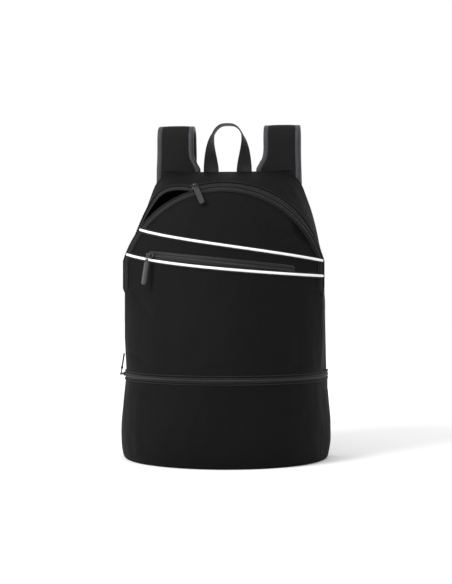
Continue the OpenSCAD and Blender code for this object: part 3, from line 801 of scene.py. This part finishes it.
wall_z = np.array([0.0, 0.2, 1.0, 3.0, 7.0, 16.0, 30.0, 44.0, 60.0, 78.0, 96.0, 112.0, 125.0])
wall_r = np.array([154.5, 157.5, 159.2, 160.4, 161.8, 163.4, 164.6, 165.0, 164.2, 162.4, 160.4, 158.8, 158.0])
wall_p = np.stack([plan_path(r, z) for r, z in curve(np.stack([wall_r, wall_z], -1), 96)])
wall_p = crumple(wall_p, 2.0, 85.0, 31, keep=24.0, stretch=(1, 1, 0.7))
wall_p = crumple(wall_p, 0.7, 30.0, 33, keep=12.0, stretch=(1, 1, 0.6))
wall_p = creased(wall_p, ((-128, 112), (-66, 84), 8, 1.2), ((134, 98), (84, 66), 8, 1.4))
wall_p[..., 2] = np.maximum(wall_p[..., 2], 0.0)
dress(shell("shoe_compartment_wall", wall_p, LOWER, "bag"), "body_fabric", "shoe_wall")

outline = plan_path(155.5, 0.5)
base_p = np.stack([outline * (k, k, 1) + (0, (1 - k) * -60.0, 0) for k in np.linspace(0.02, 1, 30)])
base_p[..., 2] = 0.6 + 0.5 * (1 - even(30)[:, None] ** 8)
dress(shell("base_skin", base_p, LOWER, "bag", thick=1.2), "body_fabric", "base_panel")

for name, z0, z1, node in (("shoe_zip_tape_below", -6.4, -1.2, "shoe_zip_lower_tape"),
                           ("shoe_zip_tape_above", 1.2, 6.6, "shoe_zip_upper_tape")):
    zs = np.linspace(z0, z1, 6)
    p = np.stack([plan_path(PLAN_R - 0.9 + 0.5 * math.cos(z / 6.6 * math.pi / 2), SHOE_Z + z) for z in zs])
    dress(shell(name, p, TAPE, "bag", thick=0.6), "zip_tape", node)
line = plan_path(PLAN_R + 0.2, SHOE_Z, 260)
teeth = coil("shoe_zip_teeth", line, front_out(line), UP, "bag", half=1.9, high=1.0)
dress(teeth, "zip_coil", "shoe_zip_coil")
for name, z, r, sewn in (("wall_top_fold", SHOE_Z - 5.6, PLAN_R + 0.2, -0.5),
                         ("panel_bottom_fold", SHOE_Z + 6.0, PLAN_R - 0.1, 0.6)):
    dress(sweep(name, plan_path(r, z), UP, BODY, "bag", oval(2.0, 0.9, 10)), "body_fabric")
    path = plan_path(r + 1.0, z + sewn)
    dress(stitches(name + "_stitches", path, front_out(path), "bag"), "body_fabric")
for name, z in (("shoe_tape_stitches_low", -3.2), ("shoe_tape_stitches_high", 3.2)):
    path = plan_path(PLAN_R - 0.2, SHOE_Z + z)
    dress(stitches(name, path, front_out(path), "bag", length=2.4), "zip_tape")


# ---- Small parts: frames, lofts and slabs ----

def placed(*ops):
    """A frame made of turns ("x" | "y" | "z", degrees) and moves ("t", [x, y, z]), outermost first."""
    m = np.eye(4)
    for kind, value in ops:
        k = np.eye(4)
        if kind == "t":
            k[:3, 3] = value
        else:
            c, s = math.cos(math.radians(value)), math.sin(math.radians(value))
            i, j = {"x": (1, 2), "y": (2, 0), "z": (0, 1)}[kind]
            k[i, i] = k[j, j] = c
            k[i, j], k[j, i] = -s, s
        m = m @ k
    return m


def to(m, p):
    """Points moved into a frame."""
    return np.asarray(p, float) @ m[:3, :3].T + m[:3, 3]


def turn(m, v):
    """Directions turned into a frame."""
    return np.asarray(v, float) @ m[:3, :3].T


def loft(name, rings, mat, body, uvs=None):
    """Closed rings of points joined in order, with both ends capped."""
    r = np.asarray(rings, float)
    n, k = r.shape[:2]
    faces = tube(n, k)
    flat = r.reshape(-1, 3)
    v0, v1, v2 = flat[np.array(faces[:-2])[:, :3].T]
    if np.sum(np.cross(v1 - v0, v2 - v0) * (v0 - r.mean((0, 1)))) < 0:
        faces = [f[::-1] for f in faces]
    if uvs is None:
        around = lengths(r[n // 2])
        along = np.concatenate([[0], np.cumsum(np.linalg.norm(np.diff(r.mean(1), axis=0), axis=-1) + 1e-3)])
        uvs = np.stack(np.broadcast_arrays(around[None] * MM, along[:, None] * MM), -1).reshape(-1, 2)
    return make(name, flat, faces, mat, body, uvs)


def slab(name, outline, layers, mat, body):
    """A plate from an outline in the XZ plane: layers are (inset, y) from one face round to the other."""
    c = outline.mean(0)
    d = outline - c
    far = np.linalg.norm(d, axis=-1, keepdims=True)
    rings = np.stack([in_xz(c + d * np.maximum(1 - inset / far, 0.01), y) for inset, y in layers])
    return loft(name, rings, mat, body, rings[..., [0, 2]].reshape(-1, 2) * MM)


def closed_loop(pts, n):
    """n points evenly spaced round a closed outline."""
    loop = np.concatenate([pts, pts[:1]])
    d = lengths(loop)
    return at_lengths(np.linspace(0, d[-1], n, endpoint=False), d, loop)


def rounded(w, h, r, cx, cz, turns=8):
    """A rounded rectangle in the XZ plane."""
    pts = []
    for k, (sx, sz) in enumerate(((1, 1), (-1, 1), (-1, -1), (1, -1))):
        a = np.radians(np.linspace(90 * k, 90 * k + 90, turns))
        x, z = cx + sx * (w / 2 - r), cz + sz * (h / 2 - r)
        pts.append(np.stack([x + r * np.cos(a), z + r * np.sin(a)], -1))
    return closed_loop(np.concatenate(pts), 168)


def in_xz(loop, y):
    """A flat loop's points, stood up at one depth."""
    return points(loop[:, 0], y, loop[:, 1])


def group(name, parts):
    """Several meshes made into one."""
    base = parts[0]
    with bpy.context.temp_override(active_object=base, object=base, selected_objects=parts,
                                   selected_editable_objects=parts):
        bpy.ops.object.join()
    base.name = name
    base.data.name = name
    return base


# ---- Pocket zip and lining ----

POCKET = placed(("t", [5, POCKET_R - ARCH_Y - float(bulge(POCKET_MID_Z)) - 1.2, POCKET_MID_Z]),
                ("y", math.degrees(math.atan(POCKET_SLOPE))))


def along_pocket(a, s, out=0.0):
    """A place on the pocket zip's leaning tape: s is the distance across it, out is outwards."""
    a = np.radians(a)
    c, d = math.cos(math.radians(POCKET_LEAN)), math.sin(math.radians(POCKET_LEAN))
    r = POCKET_R - s * d + out * c
    h = s * c + out * d
    return to(POCKET, points(r * np.sin(a), -r * np.cos(a), h))


pa = np.linspace(-35.0, 31.6, 190)
upper = ((1.2, 0.0), (3.0, 0.1), (4.6, -0.2), (6.2, -0.9), (8.6, -2.0))
lower = ((-4.6, -1.0), (-3.6, -0.5), (-2.4, 0.0), (-1.2, 0.0))
for name, spots, nodes in (("pocket_zip_tape_upper", upper, ["pocket_zip_tapes"]),
                           ("pocket_zip_tape_lower", lower, [])):
    grid = np.stack([along_pocket(pa, s, o) for s, o in spots])
    dress(shell(name, grid, WELT, "flap", thick=0.6), "zip_tape", *nodes)
line = along_pocket(pa, 0.0, 0.5)
out = along_pocket(pa, 0.0, 2.0) - line
across = along_pocket(pa, 1.0, 0.5) - line
dress(coil("pocket_zip_teeth", line, out, across, "flap", half=1.75, high=0.8), "zip_coil", "pocket_zip_coil")
line = along_pocket(pa, 5.9, 0.2)
across = along_pocket(pa, 7.0, -0.1) - line
dress(sweep("pocket_zip_welt", line, across, WELT, "flap", oval(2.3, 0.85, 12)), "zip_tape")
dress(stitches("pocket_welt_stitches", along_pocket(pa, 7.2, 0.9), out, "flap"), "zip_tape")
for name, a in (("pocket_zip_stop_left", -35.2), ("pocket_zip_stop_right", 31.8)):
    spots = np.linspace(a - 0.35, a + 0.35, 6)
    across = along_pocket(spots, 3, 0.5) - along_pocket(spots, 1, 0.5)
    dress(sweep(name, along_pocket(spots, 1.2, 0.5), across, WELT, "flap", oval(5.6, 1.0, 12)), "zip_tape")

lining_p = panel(lambda u: LOW_Z + 3 + 0 * u, lambda u: piping_high(u) - 4, 60, 90, lift=-9.5)
lining_p = crumple(lining_p, 2.0, 60.0, 41, keep=20.0)
lining = shell("pocket_lining_sheet", lining_p * (0.975, 1, 1), LINING, None, thick=0.8)
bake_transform(lining)
dress(lining, "lining", "pocket_lining", "flap_pocket_lining")

floor_outline = plan_path(PLAN_R - 5.5, 0.0)[:, :2]
rows = []
for inset, z in ((70, 126.3), (2, 126.3), (0.4, 126.1), (0, 125.6), (0.4, 125.0), (2, 124.8), (70, 124.8)):
    q = floor_outline * (1 - inset / 150) + (0, -inset * 0.3)
    rows.append(points(q[:, 0], q[:, 1], z))
dress(loft("compartment_divider", rows, LINING, "bag"), "lining", "compartment_floor")


# ---- Back ----

def back_loop():
    """The back panel's outline in the XZ plane, anticlockwise from the right."""
    a = np.linspace(-89.99, 89.99, 220)
    d = back_reach(a)
    top = np.stack([d * np.sin(np.radians(a)), ARCH_Z + d * np.cos(np.radians(a))], -1)[::-1]
    q = np.radians(np.linspace(180, 270, 10))
    left = BACK_CORNER * (1 + np.stack([np.cos(q), np.sin(q)], -1)) - (HALF_W, 0)
    return closed_loop(np.concatenate([top, left, left[::-1] * (-1, 1)]), 260)


outline = back_loop()
outline[:, 1] = np.maximum(outline[:, 1], 0.6)
back_layers = [(90, 24.8), (30, 24.6), (8, 24.6), (2.6, 25.0), (0.9, 26.2), (0.6, 29.0),
               (0.9, 31.6), (2.6, 32.9), (8, 33.3), (30, 33.5), (90, PANEL_Y)]
dress(slab("back_panel_cloth", outline, back_layers, BODY, "bag"), "body_fabric", "back_panel")
loop = in_xz(outline, 32.4)
inward = unit((0, 32.4, 225.0) - loop) * (1, 0, 1)
path = loop + inward * 3.6 + BACKWARD * 0.9
dress(sweep("back_edge_binding", path, inward, BINDING, "bag", oval(3.6, 1.5, 12), closed=True), "binding")
dress(stitches("back_edge_stitches", loop + inward * 5.9 + BACKWARD * 2.1, BACKWARD, "bag"), "binding")


def pad(name, node, cx, z0, w, h, channels):
    """A foam pad under mesh: sewn flat at its edge, with channels pressed across it."""
    s, t = np.meshgrid(np.linspace(-1, 1, 60), np.linspace(-1, 1, 90))
    x = s * np.sqrt(1 - 0.1 * np.abs(t) ** 10)
    z = t * np.sqrt(1 - 0.1 * np.abs(s) ** 10)
    edge_gap = np.minimum((1 - np.abs(s)) * w / 2, (1 - np.abs(t)) * h / 2)
    lift = 1.2 + 4.8 * smooth(edge_gap / 9) ** 0.7
    for c in channels:
        d = (z - c) * h / 2 if abs(c) <= 1 else x * w / 2
        lift = lift - 2.4 * np.exp(-(d / 4.2) ** 2) * smooth(edge_gap / 10)
    p = points(cx - x * w / 2, PANEL_Y + lift, z0 + h / 2 + z * h / 2)
    p[..., 1] += fractal(p, 26.0, int(cx) + 70, 2) * 0.25 * smooth(edge_gap / 8)
    ob = dress(shell(name, p, AIR_MESH, "bag", thick=1.0), "back_mesh", node)
    loop = in_xz(rounded(w + 1, h + 1, 12, cx, z0 + h / 2), PANEL_Y + 1.3)
    across = (cx, PANEL_Y, z0 + h / 2) - loop
    dress(sweep(name + "_edge", loop, across, BINDING, "bag", oval(3.0, 1.2, 12), closed=True), "binding")


MIDDLE = 2   # a channel up and down the middle, where a share of the height would run across
pad("back_pad_right_mesh", "back_pad_right", 67, 158, 104, 240, (-0.34, 0.34))
pad("back_pad_left_mesh", "back_pad_left", -67, 158, 104, 240, (-0.34, 0.34))
pad("lumbar_pad_mesh", "lumbar_pad", 0, 62, 200, 84, (MIDDLE,))


# ---- Handle ----

HANDLE_TOP = 527.5
ht = even(130)
ha = math.pi * ht
c = np.cos(ha)
hx = -(HANDLE_X + 3.5 * np.sin(ha * 2) * c) * c * np.maximum(np.abs(c), 0.0001) ** -0.35
handle_line = points(hx, 28.5, BACK_H - 2.6 + (HANDLE_TOP - BACK_H + 2.4) * np.sin(ha) ** 0.62)
turned = np.radians(90 * np.clip((0.5 - np.abs(ht - 0.5)) / 0.25, 0, 1) ** 0.45)
handle_side = points(np.cos(turned), np.sin(turned), 0)
handle = sweep("carry_handle", handle_line, handle_side, WEBBING, "handle", oval(12.4, 1.1, 24, power=0.35))
dress(handle, "webbing", "top_handle")
parts = []
for s in (-1, 1):
    path = points(s * HANDLE_X, 34.7, np.linspace(426, 451.6, 24))
    parts.append(sweep(f"tack_{s}", path, RIGHT, WEBBING, "bag", oval(12.3, 0.8, 20, power=0.35)))
dress(group("handle_tacks", parts), "webbing", "handle_bartacks")
for s, tag in ((-1, "left"), (1, "right")):
    box = np.array([[-9, 430], [9, 430], [9, 447], [-9, 447], [-9, 430], [9, 447]], float)
    cross = np.concatenate([mix(box[i], box[i + 1], even(12)[:, None]) for i in range(5)])
    path = in_xz(cross + (s * HANDLE_X, 0), 35.6)
    dress(stitches("handle_stitches_" + tag, path, BACKWARD, "bag", length=2.2, gap=0.9), "webbing")


# ---- Straps ----

LOOP_Z = 530 - 4.5 - 20
STRAP_LINE = [[86, 0, BACK_H + 1], [86, 0, BACK_H + 5], [86, 0, BACK_H + 20], [86, 0, BACK_H + 34]] + [
    [86, 20 + 20 * math.cos(math.radians(a)), LOOP_Z + 20 * math.sin(math.radians(a))]
    for a in (180, 157.5, 135, 112.5, 90, 67.5, 45, 22.5, 0)] + [
    [86, 44, 480], [87, 49, 440], [88, 52, 395], [90, 52, 350], [92, 48, 305], [95, 42, 262], [98, 34, 222],
    [101, 25, 188], [103, 19, 168]]
STRAP_HALF = [35.5, 35.5, 31.0] + [29.5] * 16 + [25.0, 20.5, 16.0]
STRAP_SHIFT = [-5, -5, -1.2] + [0] * 19
ROOT_Z = 424.6      # lower edge of a strap's sewn end


def root_shape(z):
    """Half the thickness of a strap's sewn end at a height, and where its middle lies."""
    t = smooth((z - ROOT_Z) / (BACK_H - ROOT_Z) / 0.7)
    return mix(1.6, 4.2, t), mix(36.2, STRAP_Y, t)


def strap(s, tag):
    """One shoulder strap with its sewn end, buckle, lower webbing and corner anchor."""
    body = "strap_" + tag
    n = 240
    line = curve(STRAP_LINE, n) + np.array([0, STRAP_Y, 0])
    half, shift = curve(points(STRAP_HALF, STRAP_SHIFT, 0), n).T[:2]
    line[:, 0] = (line[:, 0] + shift) * s
    d = lengths(line)
    puff = 1 + 0.05 * fractal(points(d, 0, 40 * s), 60.0, 50, 2)
    puff *= 0.6 + 0.4 * smooth((d[-1] - d) / 16)
    c = np.cos(np.linspace(math.pi, 0, 18))
    high = 4.4 * (1 - 0.42 * np.abs(c) ** 4)
    top = np.stack([(half[:, None] - 3.0) * c, puff[:, None] * high], -1)
    top = np.concatenate([top, top[:, ::-1] * (1, -1)], 1)
    ob = dress(sweep("strap_pad_" + tag, line, RIGHT, STRAP, body, top), "body_fabric", "strap_" + tag)
    parts = []
    t = tangents(line)
    up = np.cross(unit(RIGHT - t * (t @ RIGHT)[:, None]), t)
    for q in (-1, 1):
        path = line + RIGHT * (q * (half - 4.6))[:, None]
        parts.append(sweep(f"bind_{tag}_{q}", path, RIGHT, BINDING, body, oval(4.7, 3.9, 16, power=0.6)))
    tip = np.linspace(-1, 1, 24)
    path = line[-1] + RIGHT * (tip * (half[-1] - 1.5))[:, None] - t[-1] * (1.8 * np.abs(tip) ** 6)[:, None]
    parts.append(sweep(f"bind_{tag}_tip", path, t[-1], BINDING, body, oval(3.0, 2.9, 16, power=0.7)))
    dress(group("strap_edge_tape_" + tag, parts), "binding", "strap_binding_" + tag)
    rows = []
    for q in (-1, 1):
        for f in (-1, 1):
            path = line + RIGHT * (q * (half - 7.6))[:, None] + up * (f * 3.6)
            rows.append(stitches(f"sew_{tag}_{q}_{f}", path[3:-4], (up * f)[3:-4], body, length=3.2))
    dress(group("strap_stitches_" + tag, rows), "binding")
    zs = np.linspace(ROOT_Z, BACK_H, 30)
    f = (zs - ROOT_Z) / (BACK_H - ROOT_Z)
    thick, root_y = root_shape(zs)
    prof = np.stack([oval(36.6 - 4 * (1 - k) ** 2, h, 32, power=0.4) for k, h in zip(f, thick)])
    root = sweep("strap_root_" + tag, points(s * STRAP_X, root_y, zs), RIGHT, STRAP, "bag", prof)
    dress(root, "body_fabric", "strap_base_" + tag)
    parts = []
    for q, x in ((1, 111.9), (-1, 50.1)):
        prof = np.stack([oval(4.7, h + 0.25, 16, power=0.6) for h in thick])
        path = points(s * x, root_y, zs + 0.6)
        parts.append(sweep(f"root_bind_{tag}_{q}", path, RIGHT, BINDING, "bag", prof))
    dress(group("strap_root_edge_tape_" + tag, parts), "binding")
    for k, z in enumerate((428.5, 431.5)):
        path = points(np.linspace(-31, 31, 20) + s * STRAP_X, sum(root_shape(z)), z)
        dress(stitches(f"strap_root_stitches_{tag}_{k}", path, BACKWARD, "bag"), "webbing")
    lock = placed(("t", line[-1] + (s * 1.0, -3, -22)), ("x", 16))
    loop = to(lock, in_xz(rounded(27.4, 23.4, 3.0, 0, 0), 0))
    across = lock[:3, 3] - loop
    prof = oval(1.75, 1.9, 12, power=0.6)
    bits = [sweep(f"lock_{tag}_frame", loop, across, BUCKLE, body, prof, closed=True)]
    for z, w in ((-5.2, 1.7), (3.2, 1.9)):
        x = np.linspace(-12.6, 12.6, 12)
        bar = to(lock, points(x, 0.3 * np.cos(x / 12.6 * 1.5), z))
        bits.append(sweep(f"lock_{tag}_{z}", bar, turn(lock, UP), BUCKLE, body, oval(w, 1.5, 12, power=0.6)))
    dress(group("ladder_" + tag, bits), "buckle", "ladder_lock_" + tag)
    yz = np.array([(1.0, 22), (2.6, 15), (2.9, 10), (0.3, 7.6), (-2.7, 10), (-2.4, 15), (-1.0, 21)])
    path = to(lock, curve(points(0, *yz.T), 40))
    prof = oval(11.2, 0.75, 20, power=0.35)
    ob = sweep("lock_webbing_" + tag, path, turn(lock, RIGHT), WEBBING, body, prof)
    dress(ob, "webbing", "lock_loop_" + tag)
    low = np.array([134 * s, BACK_Y + 13.8, 38])
    high = to(lock, [s * 1.0, 4.0, -9.0])
    sag = ((0, 0), (0.25, 6.4), (0.5, 9), (0.75, 7.4), (1, 0))
    threaded = ((1, 3.8, -4), (1, 2.2, 0), (1, -2.2, 1.2), (1, -3.4, -5), (1, -4.6, -14), (1.4, -6.6, -30))
    knots = [mix(low, high, f) + BACKWARD * y for f, y in sag]
    knots += [to(lock, [s * x, y, z]) for x, y, z in threaded]
    path = curve(knots, 110)
    tilt = points(1, 0, s * mix(0.5, 0.0, smooth(even(110) / 0.45)))
    ob = sweep("adjuster_webbing_" + tag, path, tilt, WEBBING, None, oval(10.6, 0.75, 20, power=0.35))
    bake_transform(ob)
    dress(ob, "webbing", "lower_webbing_" + tag)
    tri = np.array([[116, 14], [158, 14], [158, 52], [140, 40]], float) * np.array([s, 1])
    if s < 0:
        tri = tri[::-1]
    f = np.linspace(0, 1, 14, endpoint=False)[:, None]
    seg = np.concatenate([mix(tri[i], tri[(i + 1) % 4], f) for i in range(4)])
    layers = [(14, 34.1), (1, 34.1), (0.2, 34.7), (0.2, 35.6), (1.2, 36.3), (14, 36.9)]
    dress(slab("anchor_" + tag, seg, layers, BODY, "bag"), "body_fabric", "webbing_anchor_" + tag)


strap(1, "right")
strap(-1, "left")


# ---- Sliders and pulls ----

def slider(tag, at, body):
    """A coil slider: two wings, a nose and the bridge that carries the pull."""
    y0 = -COIL_R - 0.5
    a = np.linspace(0, 2 * np.pi, 40, endpoint=False)
    c, s = np.cos(a), np.sin(a)
    wide = np.stack([6.3 * np.sign(c) * np.abs(c) ** 0.6,
                     (3.35 - 0.55 * np.clip(-c, 0, 1)) * np.sign(s) * np.abs(s) ** 0.7], -1)
    layers = ((2.0, 0.0), (0.5, 0.0), (0.0, -0.5), (0.0, -1.5), (0.5, -2.2), (1.3, -2.4), (3.0, -2.45))
    rows = [in_xz(wide * (1 - inset / 6.3), y0 + y) for inset, y in layers]
    bits = [loft(f"{tag}_wing", to(at, rows), METAL, body)]
    xy = [(-4.1, y0 - 2.0), (-4.2, -BAR_OUT + 1.6), (-3.4, -BAR_OUT + 0.2), (0, -BAR_OUT),
          (3.3, -BAR_OUT + 0.2), (4.1, -BAR_OUT + 1.6), (4.1, y0 - 2.0)]
    path = to(at, curve(points(*np.array(xy).T, 0), 50))
    bits.append(sweep(f"{tag}_bridge", path, turn(at, UP), METAL, body, oval(1.35, 0.72, 14, power=0.8)))
    dress(group(tag + "_body", bits), "slider_metal", tag + "_slider")


def pull(tag, at, swing, yaw, length, droop, spin, body):
    """A slider's link and rubber tab: swung from hanging, then turned, bent and twisted at the link."""
    hang = at @ placed(("t", [0, -BAR_OUT, 0]), ("x", swing))
    a = np.linspace(0, 2 * np.pi, 24, endpoint=False)
    hub = to(hang, points(0, 1.35 * np.cos(a), 1.35 * np.sin(a)))
    prof = oval(2.0, 0.5, 12, power=0.7)
    bits = [sweep(f"{tag}_hub", hub, turn(hang, RIGHT), STEEL, body, prof, closed=True)]
    loop = to(hang, in_xz(rounded(4.0, 8.8, 1.6, 0, -6.0, turns=6)[::3], 0))
    across = to(hang, [0, 0, -6.0]) - loop
    bits.append(sweep(f"{tag}_wire", loop, across, STEEL, body, oval(0.66, 0.66, 10), closed=True))
    dress(group(tag + "_link_loop", bits), "slider_metal", tag + "_pull_link")
    grip = hang @ placed(("y", yaw), ("t", [0, 0, -11]), ("x", droop), ("z", spin))
    end = length - 10.25
    tip = -end + 3.4
    rows = []
    rounding = tip - 3.4 * np.sin(np.linspace(0.12, 1.5, 9))
    for z in (*np.linspace(2.6, -2, 7), *np.linspace(-2.6, tip, 30), *rounding):
        w = 1.15 + 3.0 * float(smooth((2.2 - z) / 5.5))
        w *= math.sqrt(max(1 - max((tip - z) / 3.45, 0) ** 2, 0.02))
        grooved = 0.16 * math.cos(z * 2 * math.pi / 1.9) if -end + 6 < z < -4.5 else 0.0
        h = mix(0.8, 1.12, float(smooth((1.5 - z) / 4))) - abs(grooved)
        rows.append(points(*oval(w, h, 22, power=0.75).T, z))
    bits = [loft(f"{tag}_grip", to(grip, rows), PULL, body)]
    yz = np.array([(-1.3, -0.4), (-1.35, 1.6), (-0.6, 3.2), (0.6, 3.2), (1.35, 1.6), (1.3, -0.4)])
    fold = to(grip, curve(points(0, *yz.T), 24))
    bits.append(sweep(f"{tag}_neck", fold, turn(grip, RIGHT), PULL, body, oval(1.25, 0.5, 12, power=0.7)))
    dress(group(tag + "_tab_grip", bits), "pull_tab", tag + "_pull_tab")


AT = {"main": placed(("t", [0, -ARCH_Y, ARCH_Z]), ("x", -90), ("z", -15), ("t", [0, -(ARCH_R + 2), 0])),
      "pocket": POCKET @ placed(("z", -33), ("t", [0, -(POCKET_R + 1), 0]), ("x", -POCKET_LEAN)),
      "shoe": placed(("t", [0, 0, SHOE_Z]), ("z", -88), ("t", [0, -PLAN_R, 0]))}
for tag, swing, yaw, length, droop, spin in (("main", 37, -9, 50, 9, 0), ("pocket", 0, -9, 48, 0, 28),
                                             ("shoe", 171, 0, 32, 0, 0)):
    slider(tag, AT[tag], tag + "_slider")
    pull(tag, AT[tag], swing, yaw, length, droop, spin, tag + "_pull")


# ---- Stiffener, stage, lights and camera ----

board = bpy.data.objects["base_board"]
board.data.materials.clear()
board.data.materials.append(BOARD)

# white paper that glows a little more with distance
paper = Nodes("white_paper", 0.9, specular=0.0)
paper.bsdf.inputs["Base Color"].default_value = (0.84, 0.84, 0.84, 1)
paper.bsdf.inputs["Emission Color"].default_value = (1, 1, 1, 1)
far = paper.add("ShaderNodeVectorMath", "LENGTH", i0=paper.coord.outputs["Object"])
glow = paper.add("ShaderNodeMapRange", Value=far.outputs["Value"],
                 From_Min=0.5, From_Max=2.2, To_Min=0.03, To_Max=0.3)
paper.link(glow.outputs["Result"], "Emission Strength")
angles = np.radians(np.arange(0, 360, 5))
rim = points(9000 * np.cos(angles), 9000 * np.sin(angles), 0)
stage = make("paper_floor", rim, [range(len(rim))], paper.mat, None)


def area(name, at, aim, size, energy):
    data = bpy.data.lights.new(name, "AREA")
    data.shape = "DISK"
    data.size = size
    data.energy = energy
    ob = bpy.data.objects.new(name, data)
    bpy.context.scene.collection.objects.link(ob)
    ob.location = at
    ob.rotation_euler = (Vector(aim) - Vector(at)).to_track_quat("-Z", "Y").to_euler()


area("key", (-1.7, -1.9, 1.9), (0, 0, 0.25), 1.3, 85)
area("top", (0.1, 0.1, 2.4), (0, 0, 0.2), 1.6, 5)
area("rim", (1.9, 0.9, 1.2), (0, 0, 0.3), 0.9, 2)

world = bpy.data.worlds.new("studio")
world.use_nodes = True
world.node_tree.nodes["Background"].inputs["Color"].default_value = (1, 1, 1, 1)
world.node_tree.nodes["Background"].inputs["Strength"].default_value = 1.0
scene = bpy.context.scene
scene.world = world
scene.view_settings.view_transform = "Standard"
scene.view_settings.look = "None"

lens = bpy.data.cameras.new("camera")
lens.sensor_width = 36
lens.lens = 78.0
lens.clip_end = 50
camera = bpy.data.objects.new("camera", lens)
scene.collection.objects.link(camera)
away, turned, level = 2.0, math.radians(5.5), 0.259
camera.location = (away * math.sin(turned), -away * math.cos(turned), level)
camera.rotation_euler = (Vector((0, 0, level)) - camera.location).to_track_quat("-Z", "Y").to_euler()
scene.camera = camera
